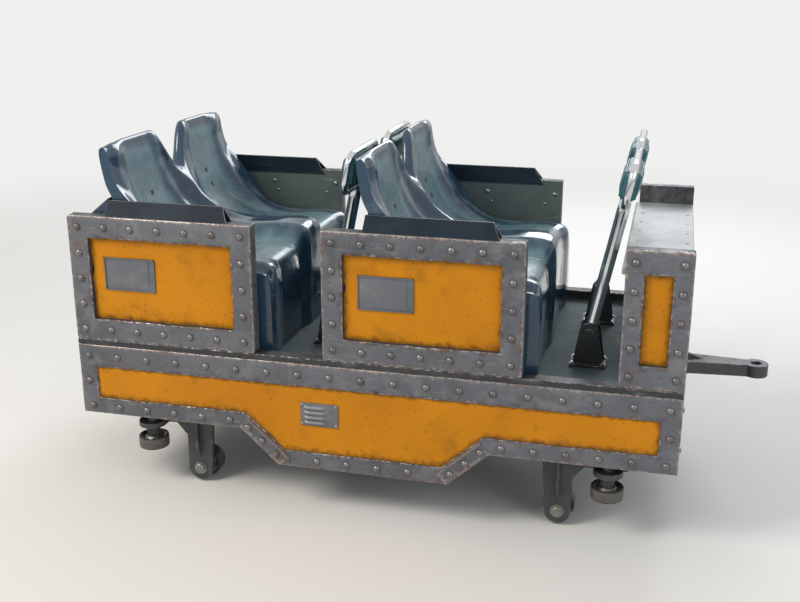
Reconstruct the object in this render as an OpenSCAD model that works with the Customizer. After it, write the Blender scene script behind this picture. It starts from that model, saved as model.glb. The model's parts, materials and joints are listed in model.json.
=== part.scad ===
// Roller coaster car of a mine train: two rows of two bucket seats on a tube-rail running gear.
// X points forward, Y to the left and Z up. The origin is on the floor, below the middle of the car.

/* [Body] */
// Length of the body over its end plates
body_length = 1900; // [1840:10:2200]
// Width of the body over the side panels
body_width = 970; // [930:5:1100]
// Distance from one seat row to the next
row_pitch = 830; // [810:5:900]
// Length of the side panel beside a row
row_panel_length = 610; // [580:5:640]
// Height of the side panels
panel_height = 405; // [360:5:450]
// Length of the short panel at the nose
nose_length = 185; // [170:5:210]
// Thickness of a side panel without its lining
panel_wall = 37; // [30:1:42]
// Thickness of the inner lining sheet
lining_wall = 8; // [4:1:10]
// Width of the upright strips of a row panel's frame
stile_width = 67; // [50:1:80]
// Width of the level strips of a row panel's frame
rail_strip = 70; // [50:1:85]
// Depth of the recess from the frame's face to the yellow plate
recess_depth = 16; // [8:1:20]
// Thickness of the yellow plates
inlay_wall = 6; // [3:1:8]
// Height of the dark threshold strip
threshold_height = 20; // [12:1:30]
// Height of the folded coaming above the panels
coaming_height = 45; // [30:1:60]
// Sheet thickness of the coaming
coaming_wall = 4; // [3:1:6]

/* [Skirt] */
// Height of the skirt at the car's ends
skirt_height = 237; // [210:1:250]
// How much deeper the skirt is in the middle
skirt_drop = 113; // [60:1:125]
// Half length of the deep part's bottom edge
deep_half = 275; // [200:5:300]
// Length of the sloping edge, measured along the car
slope_run = 125; // [100:5:140]
// Thickness of the skirt plate
skirt_wall = 18; // [14:1:24]
// Width of the skirt's top strip
skirt_top_strip = 75; // [55:1:85]
// Width of the skirt's lower strip
skirt_low_strip = 55; // [40:1:65]
// Depth of the skirt's recess
skirt_recess = 8; // [5:1:10]
// Depth of the lip folded inwards along the skirt's lower edge
lip_depth = 27; // [15:1:30]
// Thickness of the straps over the skirt's sloping edges
strap_wall = 4; // [2:1:8]

/* [Running gear] */
// Diameter of the rail tube that the wheels hold
rail_diameter = 96; // [88:1:102]
// Distance between the two rails' middles
rail_gauge = 600; // [580:5:620]
// Distance of each axle's pivot from the car's middle
axle_x = 600; // [580:5:610]
// Diameter of a running wheel
run_diameter = 210; // [190:1:220]
// Width of a running wheel's tread
run_width = 60; // [45:1:66]
// Diameter of a guide wheel
guide_diameter = 100; // [90:1:110]
// Width of a guide wheel's tread
guide_width = 40; // [30:1:44]
// Diameter of an upstop wheel
upstop_diameter = 100; // [90:1:110]
// Width of an upstop wheel's tread
upstop_width = 50; // [40:1:60]
// Distance from an axle's pivot to its running wheels, along the car
run_offset = 150; // [146:1:170]

/* [Chassis] */
// Height of the chassis beams
frame_height = 80; // [60:1:90]
// Width of the chassis beams
frame_beam = 60; // [40:1:70]
// Distance of the long beams from the middle
frame_y = 160; // [150:1:175]
// Wall of the square chassis tubes
frame_wall = 5; // [3:1:8]
// Distance of a coupling pin from the car's middle
coupling_x = 1175; // [1150:5:1300]
// Radius of the hole for a coupling pin
coupling_bore = 16; // [12:1:20]

/* [Seats] */
// Gap on each side between a seat moulding and the coaming's inner hem
seat_side_gap = 8; // [2:1:20]
// Distance from a row panel's rear end to the back of the seat
seat_back_x = 132; // [128:1:140]
// Wall of the seat moulding
seat_wall = 5; // [4:0.5:6]

/* [Lap bars] */
// Height of a lap bar's pivot above the floor
pivot_height = 110; // [95:1:125]
// Distance from a row panel's rear end to the lap bar's pivot
pivot_x = 780; // [775:1:785]
// Distance from the pivot to the lower bar of the handle loop
bar_reach = 425; // [400:1:440]
// Radius of the upright tube
bar_radius = 19; // [14:1:22]
// Forward lean of an open lap bar
open_lean = 11.5; // [8:0.5:12]
// Width of the handle loop between its tube middles
loop_width = 300; // [260:2:310]
// Height of the handle loop between its tube middles
loop_height = 120; // [100:1:130]
// Radius of the handle's tube
loop_tube = 11; // [8:1:12]

/* [Hidden] */

// Fits
seat_fit = 0.3;         // gap round a plate that lies in a pocket
pin_fit = 0.05;         // radial clearance of a turning part on its pin
cut = 1;                // how far a cutting body runs past a face

// Levels of the running gear
upstop_gap = 4;
guide_gap = 2;
rail_top = upstop_diameter + upstop_gap + rail_diameter;
rail_y = rail_gauge / 2;
rail_mid_z = rail_top - rail_diameter / 2;
run_z = rail_top + run_diameter / 2;
upstop_z = upstop_diameter / 2;
carrier_gap = 6;
carrier_wall = 18;
carrier_y = rail_y + rail_diameter / 2 + carrier_gap;
carrier_out = carrier_y + carrier_wall;
guide_y = rail_y + rail_diameter / 2 + guide_gap + guide_diameter / 2;
beam_lift = 36;
beam_depth = 70;
beam_height = 64;
beam_z = rail_top + beam_lift;
shelf_lift = 8;
shelf_wall = 18;
shelf_z = rail_top + shelf_lift;
turntable_radius = 95;
turntable_wall = 20;
slew_gap = 0.5;
king_radius = 25;
run_pin = 20;
small_pin = 14;
washer = 5;
hub_gap = 1;            // play between a hub and the boss or washer beside it
run_hub_proud = 8;      // of the running wheel's tyre, on each side
upstop_hub_proud = 10;
run_hub = run_width + 2 * run_hub_proud;
upstop_hub = upstop_width + 2 * upstop_hub_proud;

// Levels of the chassis and the body
frame_lift = 200;
frame_z = rail_top + frame_lift;
frame_top = frame_z + frame_height;
floor_wall = 10;
floor_top = frame_top + floor_wall;
kerb_rise = 15;
skirt_top = floor_top + kerb_rise;
panel_z = skirt_top + threshold_height;
panel_top = panel_z + panel_height;
coaming_top = panel_top + coaming_height;
skirt_bottom = skirt_top - skirt_height;
half_length = body_length / 2;
half_width = body_width / 2;
wall = panel_wall + lining_wall;
inner_y = half_width - wall;
lining_y = half_width - panel_wall;
skirt_y = half_width - skirt_wall;
rear_row_x = -half_length;
front_row_x = rear_row_x + row_pitch;
nose_x = half_length - nose_length;
end_wall = 8;
frame_end = half_length - end_wall;

// Frame strips at the ends of the skirt and beside the nose panel's recess, and the nose deck
end_strip = 60;
nose_stile = 54;
deck_drop = 60;
deck_wall = 8;
deck_top = panel_top - deck_drop;

// Couplers
coupling_z = frame_z + frame_height / 2;
eye_radius = 38;
flange_wall = 12;
flange_half = 55;

// Seat moulding: half width, middle of one seat and the places of its rows of points
seat_half = inner_y - coaming_wall - seat_side_gap;
seat_mid = seat_half / 2;
seat_columns = 32;
seat_steps = 2;

// Side views of the seat, [distance from the panel's rear end, height above the floor]:
// back's foot, rear face, crown rear, crown front, upper, middle and lower back, bend, pan rear,
// pan middle, pan front, nose, below the nose
seat_base = floor_top;
valley_line = [[132, 496], [110, 542], [101, 638], [117, 653], [129, 604], [142, 530], [165, 450],
    [216, 360], [314, 304], [440, 290], [556, 304], [622, 286], [638, 215]];
bolster_line = [[132, 496], [110, 542], [101, 638], [118, 655], [136, 626], [140, 562], [166, 480],
    [218, 398], [316, 356], [440, 346], [560, 354], [640, 336], [655, 250]];
flank_line = [[132, 496], [110, 542], [101, 636], [118, 651], [138, 624], [144, 568], [168, 500],
    [214, 430], [276, 360], [400, 300], [560, 304], [636, 290], [650, 225]];
outer_line = [[132, 490], [112, 536], [98, 626], [112, 646], [128, 626], [135, 585], [152, 528],
    [196, 474], [250, 405], [336, 312], [560, 282], [634, 272], [648, 215]];
middle_line = [[132, 420], [129, 480], [121, 510], [134, 524], [156, 516], [176, 502], [206, 470],
    [250, 416], [336, 366], [440, 345], [560, 356], [640, 340], [655, 250]];
valley_foot = 636;
bolster_foot = 650;

// Where the bolster towards the middle is highest on each of these points, as a share of half a
// seat's width: the notch between the two backs is widest at the top
bolster_share = [0.5, 0.46, 0.44, 0.44, 0.46, 0.52, 0.62, 0.7, 0.74, 0.76, 0.76, 0.76, 0.76];
flank_share = 0.74;     // the same for the outer bolster
hollow_share = 0.5;     // of the way to a bolster's crest that the hollow's even part takes

// Lap bars
pivot_z = floor_top + pivot_height;
pivot_pin = 12;
hub_radius = 26;
hub_length = 44;
ear_wall = 10;
ear_gap = 2;
loop_corner = 40;
pad_depth = 56;
pad_round = 22;
lap_y = seat_mid;

function blend(a, b, t) = a * (1 - t) + b * t;
function ease(t) = t <= 0 ? 0 : t >= 1 ? 1 : t * t * (3 - 2 * t);
function unit(v) = v / norm(v);

// Point on a smooth line through the points p, in the stretch that starts at point i
function smooth_at(p, i, t) =
    let (a = p[max(i - 1, 0)], b = p[i], c = p[i + 1], d = p[min(i + 2, len(p) - 1)])
    0.5 * (2 * b + (c - a) * t + (2 * a - 5 * b + 4 * c - d) * t * t
        + (3 * b - a - 3 * c + d) * t * t * t);

function smooth_line(p) = concat(
    [for (i = [0:len(p) - 2], k = [0:seat_steps - 1]) smooth_at(p, i, k / seat_steps)],
    [p[len(p) - 1]]);

// A whole side view: rear foot, smooth line, front foot
function seat_profile(p, foot) = concat([[p[0][0], 0]], smooth_line(p), [[foot, 0]]);

valley = seat_profile(valley_line, valley_foot);
bolster = seat_profile(bolster_line, bolster_foot);
flank = seat_profile(flank_line, bolster_foot);
middle = seat_profile(middle_line, bolster_foot);
outer = seat_profile(outer_line, bolster_foot);
inner_crest = let (shares = smooth_line(bolster_share))
    concat([shares[0]], shares, [shares[len(shares) - 1]]);
seat_rows = len(valley);

// Point of the seat's skin: i runs along the side view, j across the car
function seat_point(i, j) =
    let (y = seat_half * (2 * j / seat_columns - 1),
        s = abs(abs(y) - seat_mid) / seat_mid,
        inner = abs(y) < seat_mid,
        crest = inner ? inner_crest[i] : flank_share,
        side = inner ? bolster[i] : flank[i],
        start = hollow_share * crest,
        p = s < crest
            ? blend(valley[i], side, ease((s - start) / (crest - start)))
            : blend(side, inner ? middle[i] : outer[i], ease((s - crest) / (1 - crest))))
    [p[0] - valley_line[0][0] + seat_back_x, y, seat_base + p[1]];

function seat_normal(i, j) =
    let (i0 = max(i - 1, 0), i1 = min(i + 1, seat_rows - 1),
        j0 = max(j - 1, 0), j1 = min(j + 1, seat_columns),
        along = seat_point(i1, j) - seat_point(i0, j),
        across = j == 0 || j == seat_columns ? [0, 1, 0] : seat_point(i, j1) - seat_point(i, j0))
    unit(cross(along, across));

// Point of the inner skin; the feet stay level with the floor
function seat_inner(i, j) =
    let (p = seat_point(i, j) - seat_wall * seat_normal(i, j),
        side = j == 0 ? seat_wall : j == seat_columns ? -seat_wall : 0)
    [p[0], p[1] + side, i == 0 || i == seat_rows - 1 ? seat_base : p[2]];

module mirrored_y() {
    children();
    mirror([0, 1, 0]) children();
}

module mirrored_x() {
    children();
    mirror([1, 0, 0]) children();
}

// Box from its low corner to its high corner
module span(low, high) {
    translate(low) cube(high - low);
}

// Square tube along X, between two ends
module tube_x(x0, x1, y, z) {
    difference() {
        span([x0, y - frame_beam / 2, z], [x1, y + frame_beam / 2, z + frame_height]);
        span([x0 - cut, y - frame_beam / 2 + frame_wall, z + frame_wall],
            [x1 + cut, y + frame_beam / 2 - frame_wall, z + frame_height - frame_wall]);
    }
}

// Chassis: two long tubes, cross members, outriggers to the skirts and the seats of the axles
module chassis_frame() {
    cross_half = frame_beam / 2;
    inner_face = frame_y - frame_beam / 2;
    end_x = frame_end - cross_half;
    seat_z = beam_z + beam_height + turntable_wall + slew_gap;
    color("dimgray") {
        mirrored_y() tube_x(-frame_end, frame_end, frame_y, frame_z);
        for (x = [-end_x, -axle_x, -deep_half, deep_half, axle_x, end_x])
            span([x - cross_half, -inner_face, frame_z], [x + cross_half, inner_face, frame_top]);
        for (x = [-end_x, -deep_half, deep_half, end_x])
            mirrored_y() translate([x, 0, 0]) outrigger(cross_half);
        mirrored_x() translate([axle_x, 0, seat_z])
            cylinder(r = turntable_radius, h = frame_z - seat_z, $fn = 64);
        mirrored_x() translate([axle_x, 0, 0]) king_pin();
    }
}

// Outrigger from a chassis beam out to the skirt: a flange along the top over a tapered web
module outrigger(half) {
    top_flange = 8;
    web = 10;
    tip_height = 30;
    root_y = frame_y + frame_beam / 2;
    span([-half, root_y, frame_top - top_flange], [half, skirt_y, frame_top]);
    cross_plate(web) polygon([[root_y, frame_z], [root_y, frame_top], [skirt_y, frame_top],
        [skirt_y, frame_top - tip_height]]);
}

// Upright plate across the car about X = 0, drawn in the view from the front as [y, z]
module cross_plate(thickness) {
    rotate([90, 0, 90]) linear_extrude(height = thickness, center = true) children();
}

// King pin with its collar below the axle beam
module king_pin() {
    collar = 16;
    translate([0, 0, beam_z - slew_gap - collar]) {
        cylinder(r = king_radius, h = frame_z - beam_z + slew_gap + 2 * collar, $fn = 48);
        cylinder(r = king_radius + 16, h = collar, $fn = 48);
    }
}

// Brake fin: a long plate under the middle of the chassis, on two hangers
module brake_fin() {
    fin_end_gap = 160;      // from the fin's end to the king pin
    fin_half = axle_x - fin_end_gap;
    fin_wall = 14;
    fin_height = 120;
    fin_gap = 40;
    hanger = 50;
    fin_z = frame_z - fin_gap - fin_height;
    chamfer = 40;
    color("silver") {
        rotate([90, 0, 0]) linear_extrude(height = fin_wall, center = true)
            polygon([[-fin_half + chamfer, fin_z], [fin_half - chamfer, fin_z],
                [fin_half, fin_z + chamfer], [fin_half, fin_z + fin_height],
                [-fin_half, fin_z + fin_height], [-fin_half, fin_z + chamfer]]);
        mirrored_x() span([deep_half - hanger / 2, -hanger / 2, fin_z + fin_height],
            [deep_half + hanger / 2, hanger / 2, frame_z]);
    }
}

// Plates that close the chassis at both ends, cut out for the couplers
module end_plates() {
    slot_half = 60;
    slot_depth = 100;
    color("saddlebrown") mirrored_x() difference() {
        span([frame_end, -skirt_y, skirt_bottom], [half_length, skirt_y, frame_top]);
        span([frame_end - cut, -slot_half, frame_top - slot_depth],
            [half_length + cut, slot_half, frame_top + cut]);
    }
}

// Axle at the front: cross beam with its turntable, and a wheel carrier outside each rail
module axle() {
    color("slategray") difference() {
        union() {
            span([-beam_depth / 2, -carrier_y, beam_z], [beam_depth / 2, carrier_y, beam_z + beam_height]);
            translate([0, 0, beam_z + beam_height])
                cylinder(r = turntable_radius, h = turntable_wall, $fn = 64);
            mirrored_y() wheel_carrier();
        }
        translate([0, 0, beam_z - cut])
            cylinder(r = king_radius + pin_fit, h = beam_height + turntable_wall + 2 * cut, $fn = 48);
    }
}

// Wheel carrier of one side: a plate outside the rail with the pins of three wheels
module wheel_carrier() {
    leg_half = 42;
    boss = 50;              // radius of the plate round the running wheel's pin
    rise = 48;              // height of the plate above that pin
    throat = [34, 40];      // slope from the leg out to the shelf
    toe = [8, 30];          // upright front end of the plate above the shelf
    shoulder = 30;          // cut off the upper front corner
    back = [10, 14];        // how far the back leans in at the top and out at the beam
    plate_top = run_z + rise;
    front_x = run_offset + boss;
    shelf_top = shelf_z + shelf_wall;
    shelf_half = 45;
    // outline from below the leg, up its front, round the shelf to the top and down the back
    outline = [[-leg_half, upstop_z], [leg_half, upstop_z], [leg_half, shelf_z - throat[1]],
        [leg_half + throat[0], shelf_z], [front_x + toe[0], shelf_z], [front_x + toe[0], shelf_z + toe[1]],
        [front_x, run_z], [front_x - shoulder, plate_top], [-leg_half + back[0], plate_top],
        [-leg_half - back[1], beam_z + beam_height]];
    translate([0, carrier_out, 0]) rotate([90, 0, 0]) linear_extrude(height = carrier_wall) {
        polygon(outline);
        translate([0, upstop_z]) circle(r = leg_half, $fn = 48);
        translate([run_offset, run_z]) circle(r = boss, $fn = 48);
    }
    // shelf that holds the guide wheel from above, with two gussets to the plate
    span([run_offset - shelf_half, carrier_out - cut, shelf_z],
        [run_offset + shelf_half, guide_y, shelf_top]);
    translate([run_offset, guide_y, shelf_z]) cylinder(r = shelf_half, h = shelf_wall, $fn = 48);
    gusset_wall = 8;
    gusset_rise = 54;
    for (dx = [-1, 1] * (shelf_half - gusset_wall)) translate([run_offset + dx, 0, 0])
        cross_plate(gusset_wall) polygon([[carrier_out - cut, shelf_top - cut],
            [carrier_out - cut, shelf_top + gusset_rise], [carrier_out, shelf_top + gusset_rise],
            [guide_y, shelf_top], [guide_y, shelf_top - cut]]);
    // rib down the outside of the leg
    rib_wall = 10;
    rib_out = 20;
    rib_end = 36;           // length of each tapered end
    rib_low = upstop_z + leg_half;
    cross_plate(rib_wall) polygon([[carrier_out - cut, rib_low], [carrier_out, rib_low],
        [carrier_out + rib_out, rib_low + rib_end], [carrier_out + rib_out, plate_top - rib_end],
        [carrier_out, plate_top], [carrier_out - cut, plate_top]]);
    translate([run_offset, guide_y, rail_mid_z])
        wheel_pin(small_pin, guide_width, shelf_z - rail_mid_z);
    // the running wheel's and the upstop wheel's pins point inwards from the plate
    translate([run_offset, rail_y, run_z]) rotate([-90, 0, 0])
        wheel_pin(run_pin, run_hub, carrier_y - rail_y);
    translate([0, rail_y, upstop_z]) rotate([-90, 0, 0])
        wheel_pin(small_pin, upstop_hub, carrier_y - rail_y);
}

// Pin along Z through a wheel's hub at the origin, held at a height above it: boss, pin and washer
module wheel_pin(radius, hub, hold) {
    collar = 8;
    low = -hub / 2 - hub_gap - washer;
    translate([0, 0, low]) cylinder(r = radius, h = hold - low + cut, $fn = 32);
    translate([0, 0, low]) cylinder(r = radius + collar, h = washer, $fn = 32);
    translate([0, 0, hub / 2 + hub_gap])
        cylinder(r = radius + collar, h = hold + cut - hub / 2 - hub_gap, $fn = 32);
}

module front_axle() {
    translate([axle_x, 0, 0]) axle();
}

module rear_axle() {
    mirror([1, 0, 0]) front_axle();
}

// Wheel with its axle along Z: tread, dished web and hub on both sides
module wheel(diameter, width, hub, bore, colour) {
    radius = diameter / 2;
    tread = radius * 0.16;
    web = width * 0.28;
    hub_radius = bore + 14;
    color(colour) difference() {
        rotate_extrude($fn = 72) polygon([[bore + pin_fit, -hub / 2], [hub_radius, -hub / 2],
            [hub_radius, -web], [radius - tread, -web], [radius - tread, -width / 2],
            [radius - 4, -width / 2], [radius, -width / 2 + 4], [radius, width / 2 - 4],
            [radius - 4, width / 2], [radius - tread, width / 2], [radius - tread, web],
            [hub_radius, web], [hub_radius, hub / 2], [bore + pin_fit, hub / 2]]);
    }
}

// Wheels: side is 1 on the left and -1 on the right, end is 1 at the front and -1 at the rear
module running_wheel(end, side) {
    translate([end * (axle_x + run_offset), side * rail_y, run_z]) rotate([90, 0, 0])
        wheel(run_diameter, run_width, run_hub, run_pin, "darkslategray");
}

module guide_wheel(end, side) {
    translate([end * (axle_x + run_offset), side * guide_y, rail_mid_z])
        wheel(guide_diameter, guide_width, guide_width, small_pin, "darkslategray");
}

module upstop_wheel(end, side) {
    translate([end * axle_x, side * rail_y, upstop_z]) rotate([90, 0, 0])
        wheel(upstop_diameter, upstop_width, upstop_hub, small_pin, "darkslategray");
}

// Floor pan with a kerb along each side
module floor_pan() {
    color("darkslategray") {
        span([-half_length, -skirt_y, frame_top], [half_length, skirt_y, floor_top]);
        mirrored_y() span([-half_length, lining_y, floor_top], [half_length, skirt_y, skirt_top]);
    }
}

module thresholds() {
    color("black") mirrored_y()
        span([-half_length, inner_y, skirt_top], [half_length, half_width, panel_z]);
}

// Outline of the skirt in side view, drawn in by a margin at the ends, top and bottom
module skirt_outline(end_in, top_in, low_in) {
    slope_angle = atan2(skirt_drop, slope_run);
    shift = low_in * tan(slope_angle / 2);
    x_end = half_length - end_in;
    x_slope = deep_half + slope_run - shift;
    x_deep = deep_half - shift;
    z_low = skirt_bottom + low_in;
    z_deep = z_low - skirt_drop;
    polygon([[-x_end, skirt_top - top_in], [-x_end, z_low], [-x_slope, z_low], [-x_deep, z_deep],
        [x_deep, z_deep], [x_slope, z_low], [x_end, z_low], [x_end, skirt_top - top_in]]);
}

// Skirt plates with their recess, the straps over their sloping edges and the lip folded inwards
module skirt_frames() {
    lip_wall = 8;
    color("dimgray") mirrored_y() {
        difference() {
            side_plate(skirt_y, half_width) skirt_outline(0, 0, 0);
            side_plate(half_width - skirt_recess, half_width + cut)
                skirt_outline(end_strip, skirt_top_strip, skirt_low_strip);
        }
        mirrored_x() slope_strap();
        difference() {
            side_plate(skirt_y - lip_depth, skirt_y) skirt_outline(end_wall, 0, 0);
            side_plate(skirt_y - lip_depth - cut, skirt_y + cut)
                skirt_outline(-end_wall, -cut, lip_wall);
        }
    }
}

// Strap over a sloping edge of the skirt, from its upper bend down to its lower one
module slope_strap() {
    strap_width = 46;
    edge_gap = 4;           // from the skirt's edge, and past both bends
    length = norm([slope_run, skirt_drop]);
    side_plate(half_width - cut, half_width + strap_wall)
        translate([deep_half + slope_run, skirt_bottom]) rotate(180 + atan2(skirt_drop, slope_run))
            translate([-edge_gap, -strap_width - edge_gap]) square([length + 2 * edge_gap, strap_width]);
}

// Upright plate between two distances from the middle of the car, drawn in side view
module side_plate(y0, y1) {
    translate([0, y1, 0]) rotate([90, 0, 0]) linear_extrude(height = y1 - y0) children();
}

// Yellow plates in the recess of the skirts
module skirt_bands() {
    color("orange") mirrored_y()
        side_plate(half_width - skirt_recess, half_width - skirt_recess + inlay_wall / 2)
            skirt_outline(end_strip + seat_fit, skirt_top_strip + seat_fit, skirt_low_strip + seat_fit);
}

// Side panel of a row: a plate with a framed recess
module row_panel(x, side) {
    color("gray") scale([1, side, 1]) panel_plate(x, row_panel_length, lining_y, stile_width);
}

module panel_plate(x, length, y, stile) {
    difference() {
        span([x, y, panel_z], [x + length, half_width, panel_top]);
        span([x + stile, half_width - recess_depth - inlay_wall, panel_z + rail_strip],
            [x + length - stile, half_width + cut, panel_top - rail_strip]);
    }
}

module nose_panels() {
    color("gray") mirrored_y() panel_plate(nose_x, nose_length, inner_y, nose_stile);
}

// Yellow plate that lies in a panel's recess
module inlay(x, length, stile) {
    span([x + stile + seat_fit, half_width - recess_depth - inlay_wall, panel_z + rail_strip + seat_fit],
        [x + length - stile - seat_fit, half_width - recess_depth, panel_top - rail_strip - seat_fit]);
}

module side_inlays() {
    color("orange") mirrored_y() {
        inlay(rear_row_x, row_panel_length, stile_width);
        inlay(front_row_x, row_panel_length, stile_width);
        inlay(nose_x, nose_length, nose_stile);
    }
}

// Lining sheets on the inside of the row panels
module side_linings() {
    color("slategray") mirrored_y() for (x = [rear_row_x, front_row_x])
        span([x, inner_y, panel_z], [x + row_panel_length, lining_y, panel_top]);
}

// Folded sheet on top of a row panel, leaning inwards, with a slanted front end
module coamings() {
    seat_lap = 4;           // of the coaming's rear end behind the foot of the seat's back
    coaming_rear = seat_back_x - seat_lap;
    coaming_front = 66;
    end_slant = 30;
    foot_y = half_width - 3;
    crest_y = inner_y + 3;
    hem = 16;
    lean = atan2(foot_y - crest_y, coaming_height);
    sheet_y = coaming_wall / cos(lean);     // the leaning sheet's thickness along Y
    // cross section: outer foot, top edge, inner hem, and back along the inside of the sheet
    section = [[foot_y, panel_top], [crest_y, coaming_top], [inner_y - coaming_wall, coaming_top],
        [inner_y - coaming_wall, panel_top - hem], [inner_y, panel_top - hem],
        [inner_y, coaming_top - coaming_wall],
        [crest_y - sheet_y + coaming_wall * tan(lean), coaming_top - coaming_wall],
        [foot_y - sheet_y, panel_top]];
    color("darkslategray") mirrored_y() for (x = [rear_row_x, front_row_x]) difference() {
        translate([x + coaming_rear, 0, 0]) rotate([90, 0, 90])
            linear_extrude(height = row_panel_length - coaming_rear - coaming_front) polygon(section);
        translate([x + row_panel_length - coaming_front, 0, panel_top - hem])
            rotate([0, -end_slant, 0]) translate([0, -half_width - cut, -coaming_height])
                cube([2 * coaming_height, body_width + 2 * cut, 4 * coaming_height]);
    }
}

// Box across the nose, open at the top under its deck
module front_bulkhead() {
    bulkhead_wall = 8;
    color("slategray") difference() {
        span([nose_x, -inner_y, floor_top], [half_length, inner_y, deck_top - deck_wall]);
        span([nose_x + bulkhead_wall, -inner_y + bulkhead_wall, floor_top - cut],
            [half_length - bulkhead_wall, inner_y - bulkhead_wall, deck_top]);
    }
}

// Deck sheet of the nose, rolled down along its rear edge
module front_deck() {
    nosing = 12;            // thickness of the rolled edge in front of the bulkhead
    nosing_drop = 16;
    roll = 10;
    rear_x = nose_x - nosing;
    color("lightgray") side_plate(-inner_y, inner_y) polygon(concat(
        [[half_length, deck_top - deck_wall], [half_length, deck_top]],
        [for (a = [90:15:180]) [rear_x + roll + roll * cos(a), deck_top - roll + roll * sin(a)]],
        [[rear_x, deck_top - deck_wall - nosing_drop], [nose_x, deck_top - deck_wall - nosing_drop],
            [nose_x, deck_top - deck_wall]]));
}

// Closing box behind the rear seats, with a sloping top sheet
module rear_bulkhead() {
    sheet = 8;
    seat_gap = 8;
    edge_rise = 6;          // of its front edge above the coamings
    slope_drop = 50;        // of its rear edge below the panels' top
    depth = seat_back_x - seat_gap;
    high = coaming_top + edge_rise;
    low = panel_top - slope_drop;
    color("cadetblue") difference() {
        side_plate(-inner_y, inner_y) polygon([[-half_length, floor_top], [-half_length, low],
            [-half_length + depth, high], [-half_length + depth, floor_top]]);
        side_plate(-inner_y + sheet, inner_y - sheet) polygon([[-half_length + sheet, floor_top - cut],
            [-half_length + sheet, low - sheet], [-half_length + depth - sheet, high - 2 * sheet],
            [-half_length + depth - sheet, floor_top - cut]]);
    }
}

// Electrical box on the rear end
module junction_box() {
    box_depth = 60;
    box_width = 190;
    box_height = 130;
    side_margin = 100;      // to the end of the rear bulkhead
    box_rise = 110;         // above the panels' lower edge
    box_y = inner_y - side_margin - box_width;
    box_z = panel_z + box_rise;
    lid = 6;
    color("gray") {
        span([-half_length - box_depth, box_y, box_z],
            [-half_length, box_y + box_width, box_z + box_height]);
        span([-half_length - box_depth - lid, box_y - lid, box_z - lid],
            [-half_length - box_depth, box_y + box_width + lid, box_z + box_height + lid]);
    }
}

// Double bucket seat of one row: an outer and an inner skin that meet at the foot
module seat_row(x) {
    n = seat_rows;
    m = seat_columns;
    skin = [for (j = [0:m], i = [0:n - 1]) seat_point(i, j)];
    lining = [for (j = [0:m], i = [0:n - 1]) seat_inner(i, j)];
    start = len(skin);
    skin_faces = [for (j = [0:m - 1], i = [0:n - 2]) let (a = j * n + i, b = a + n)
        each [[a, b, b + 1], [a, b + 1, a + 1]]];
    lining_faces = [for (f = skin_faces) [f[0] + start, f[2] + start, f[1] + start]];
    ends = [[for (i = [0:n - 1]) i], [for (i = [n - 1:-1:0]) m * n + i],
        [for (i = [n - 1:-1:0]) start + i], [for (i = [0:n - 1]) start + m * n + i]];
    rear_rim = [for (j = [0:m - 1]) let (a = j * n, b = a + n)
        each [[start + a, start + b, b], [start + a, b, a]]];
    front_rim = [for (j = [0:m - 1]) let (a = j * n + n - 1, b = a + n)
        each [[start + a, a, b], [start + a, b, start + b]]];
    end_rims = [[0, n - 1, start + n - 1, start],
        [start + m * n, start + m * n + n - 1, m * n + n - 1, m * n]];
    color("steelblue") translate([x, 0, 0]) polyhedron(points = concat(skin, lining),
        faces = concat(skin_faces, lining_faces, ends, rear_rim, front_rim, end_rims), convexity = 8);
}

// Floor brackets that carry the lap bars: foot plate, two ears and the pivot pin
module lap_bar_pedestals() {
    foot_half = 55;
    foot_wall = 8;
    foot_margin = 12;       // of the foot plate beside the ears
    ear_half = 30;
    ear_inset = 8;          // from the foot plate's end to the ear's foot
    ear_y = hub_length / 2 + ear_gap;
    pin_half = ear_y + ear_wall + 4;
    foot_top = floor_top + foot_wall;
    color("dimgray") for (x = [rear_row_x, front_row_x], side = [-1, 1])
        translate([x + pivot_x, side * lap_y, 0]) {
            span([-foot_half, -ear_y - ear_wall - foot_margin, floor_top],
                [foot_half, ear_y + ear_wall + foot_margin, foot_top]);
            for (y = [-ear_y - ear_wall, ear_y]) side_plate(y, y + ear_wall) {
                polygon([[-foot_half + ear_inset, foot_top], [-ear_half, pivot_z],
                    [ear_half, pivot_z], [foot_half - ear_inset, foot_top]]);
                translate([0, pivot_z]) circle(r = ear_half, $fn = 48);
            }
            translate([0, pin_half, pivot_z]) rotate([90, 0, 0])
                cylinder(r = pivot_pin, h = 2 * pin_half, $fn = 32);
        }
}

// Quarter of a torus in the YZ plane, round the corner of the handle loop
module loop_corner_at(y, z, turn) {
    translate([0, y, z]) rotate([turn, 0, 0]) rotate([90, 0, 90])
        rotate_extrude(angle = 90, $fn = 48) translate([loop_corner, 0]) circle(r = loop_tube, $fn = 24);
}

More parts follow.
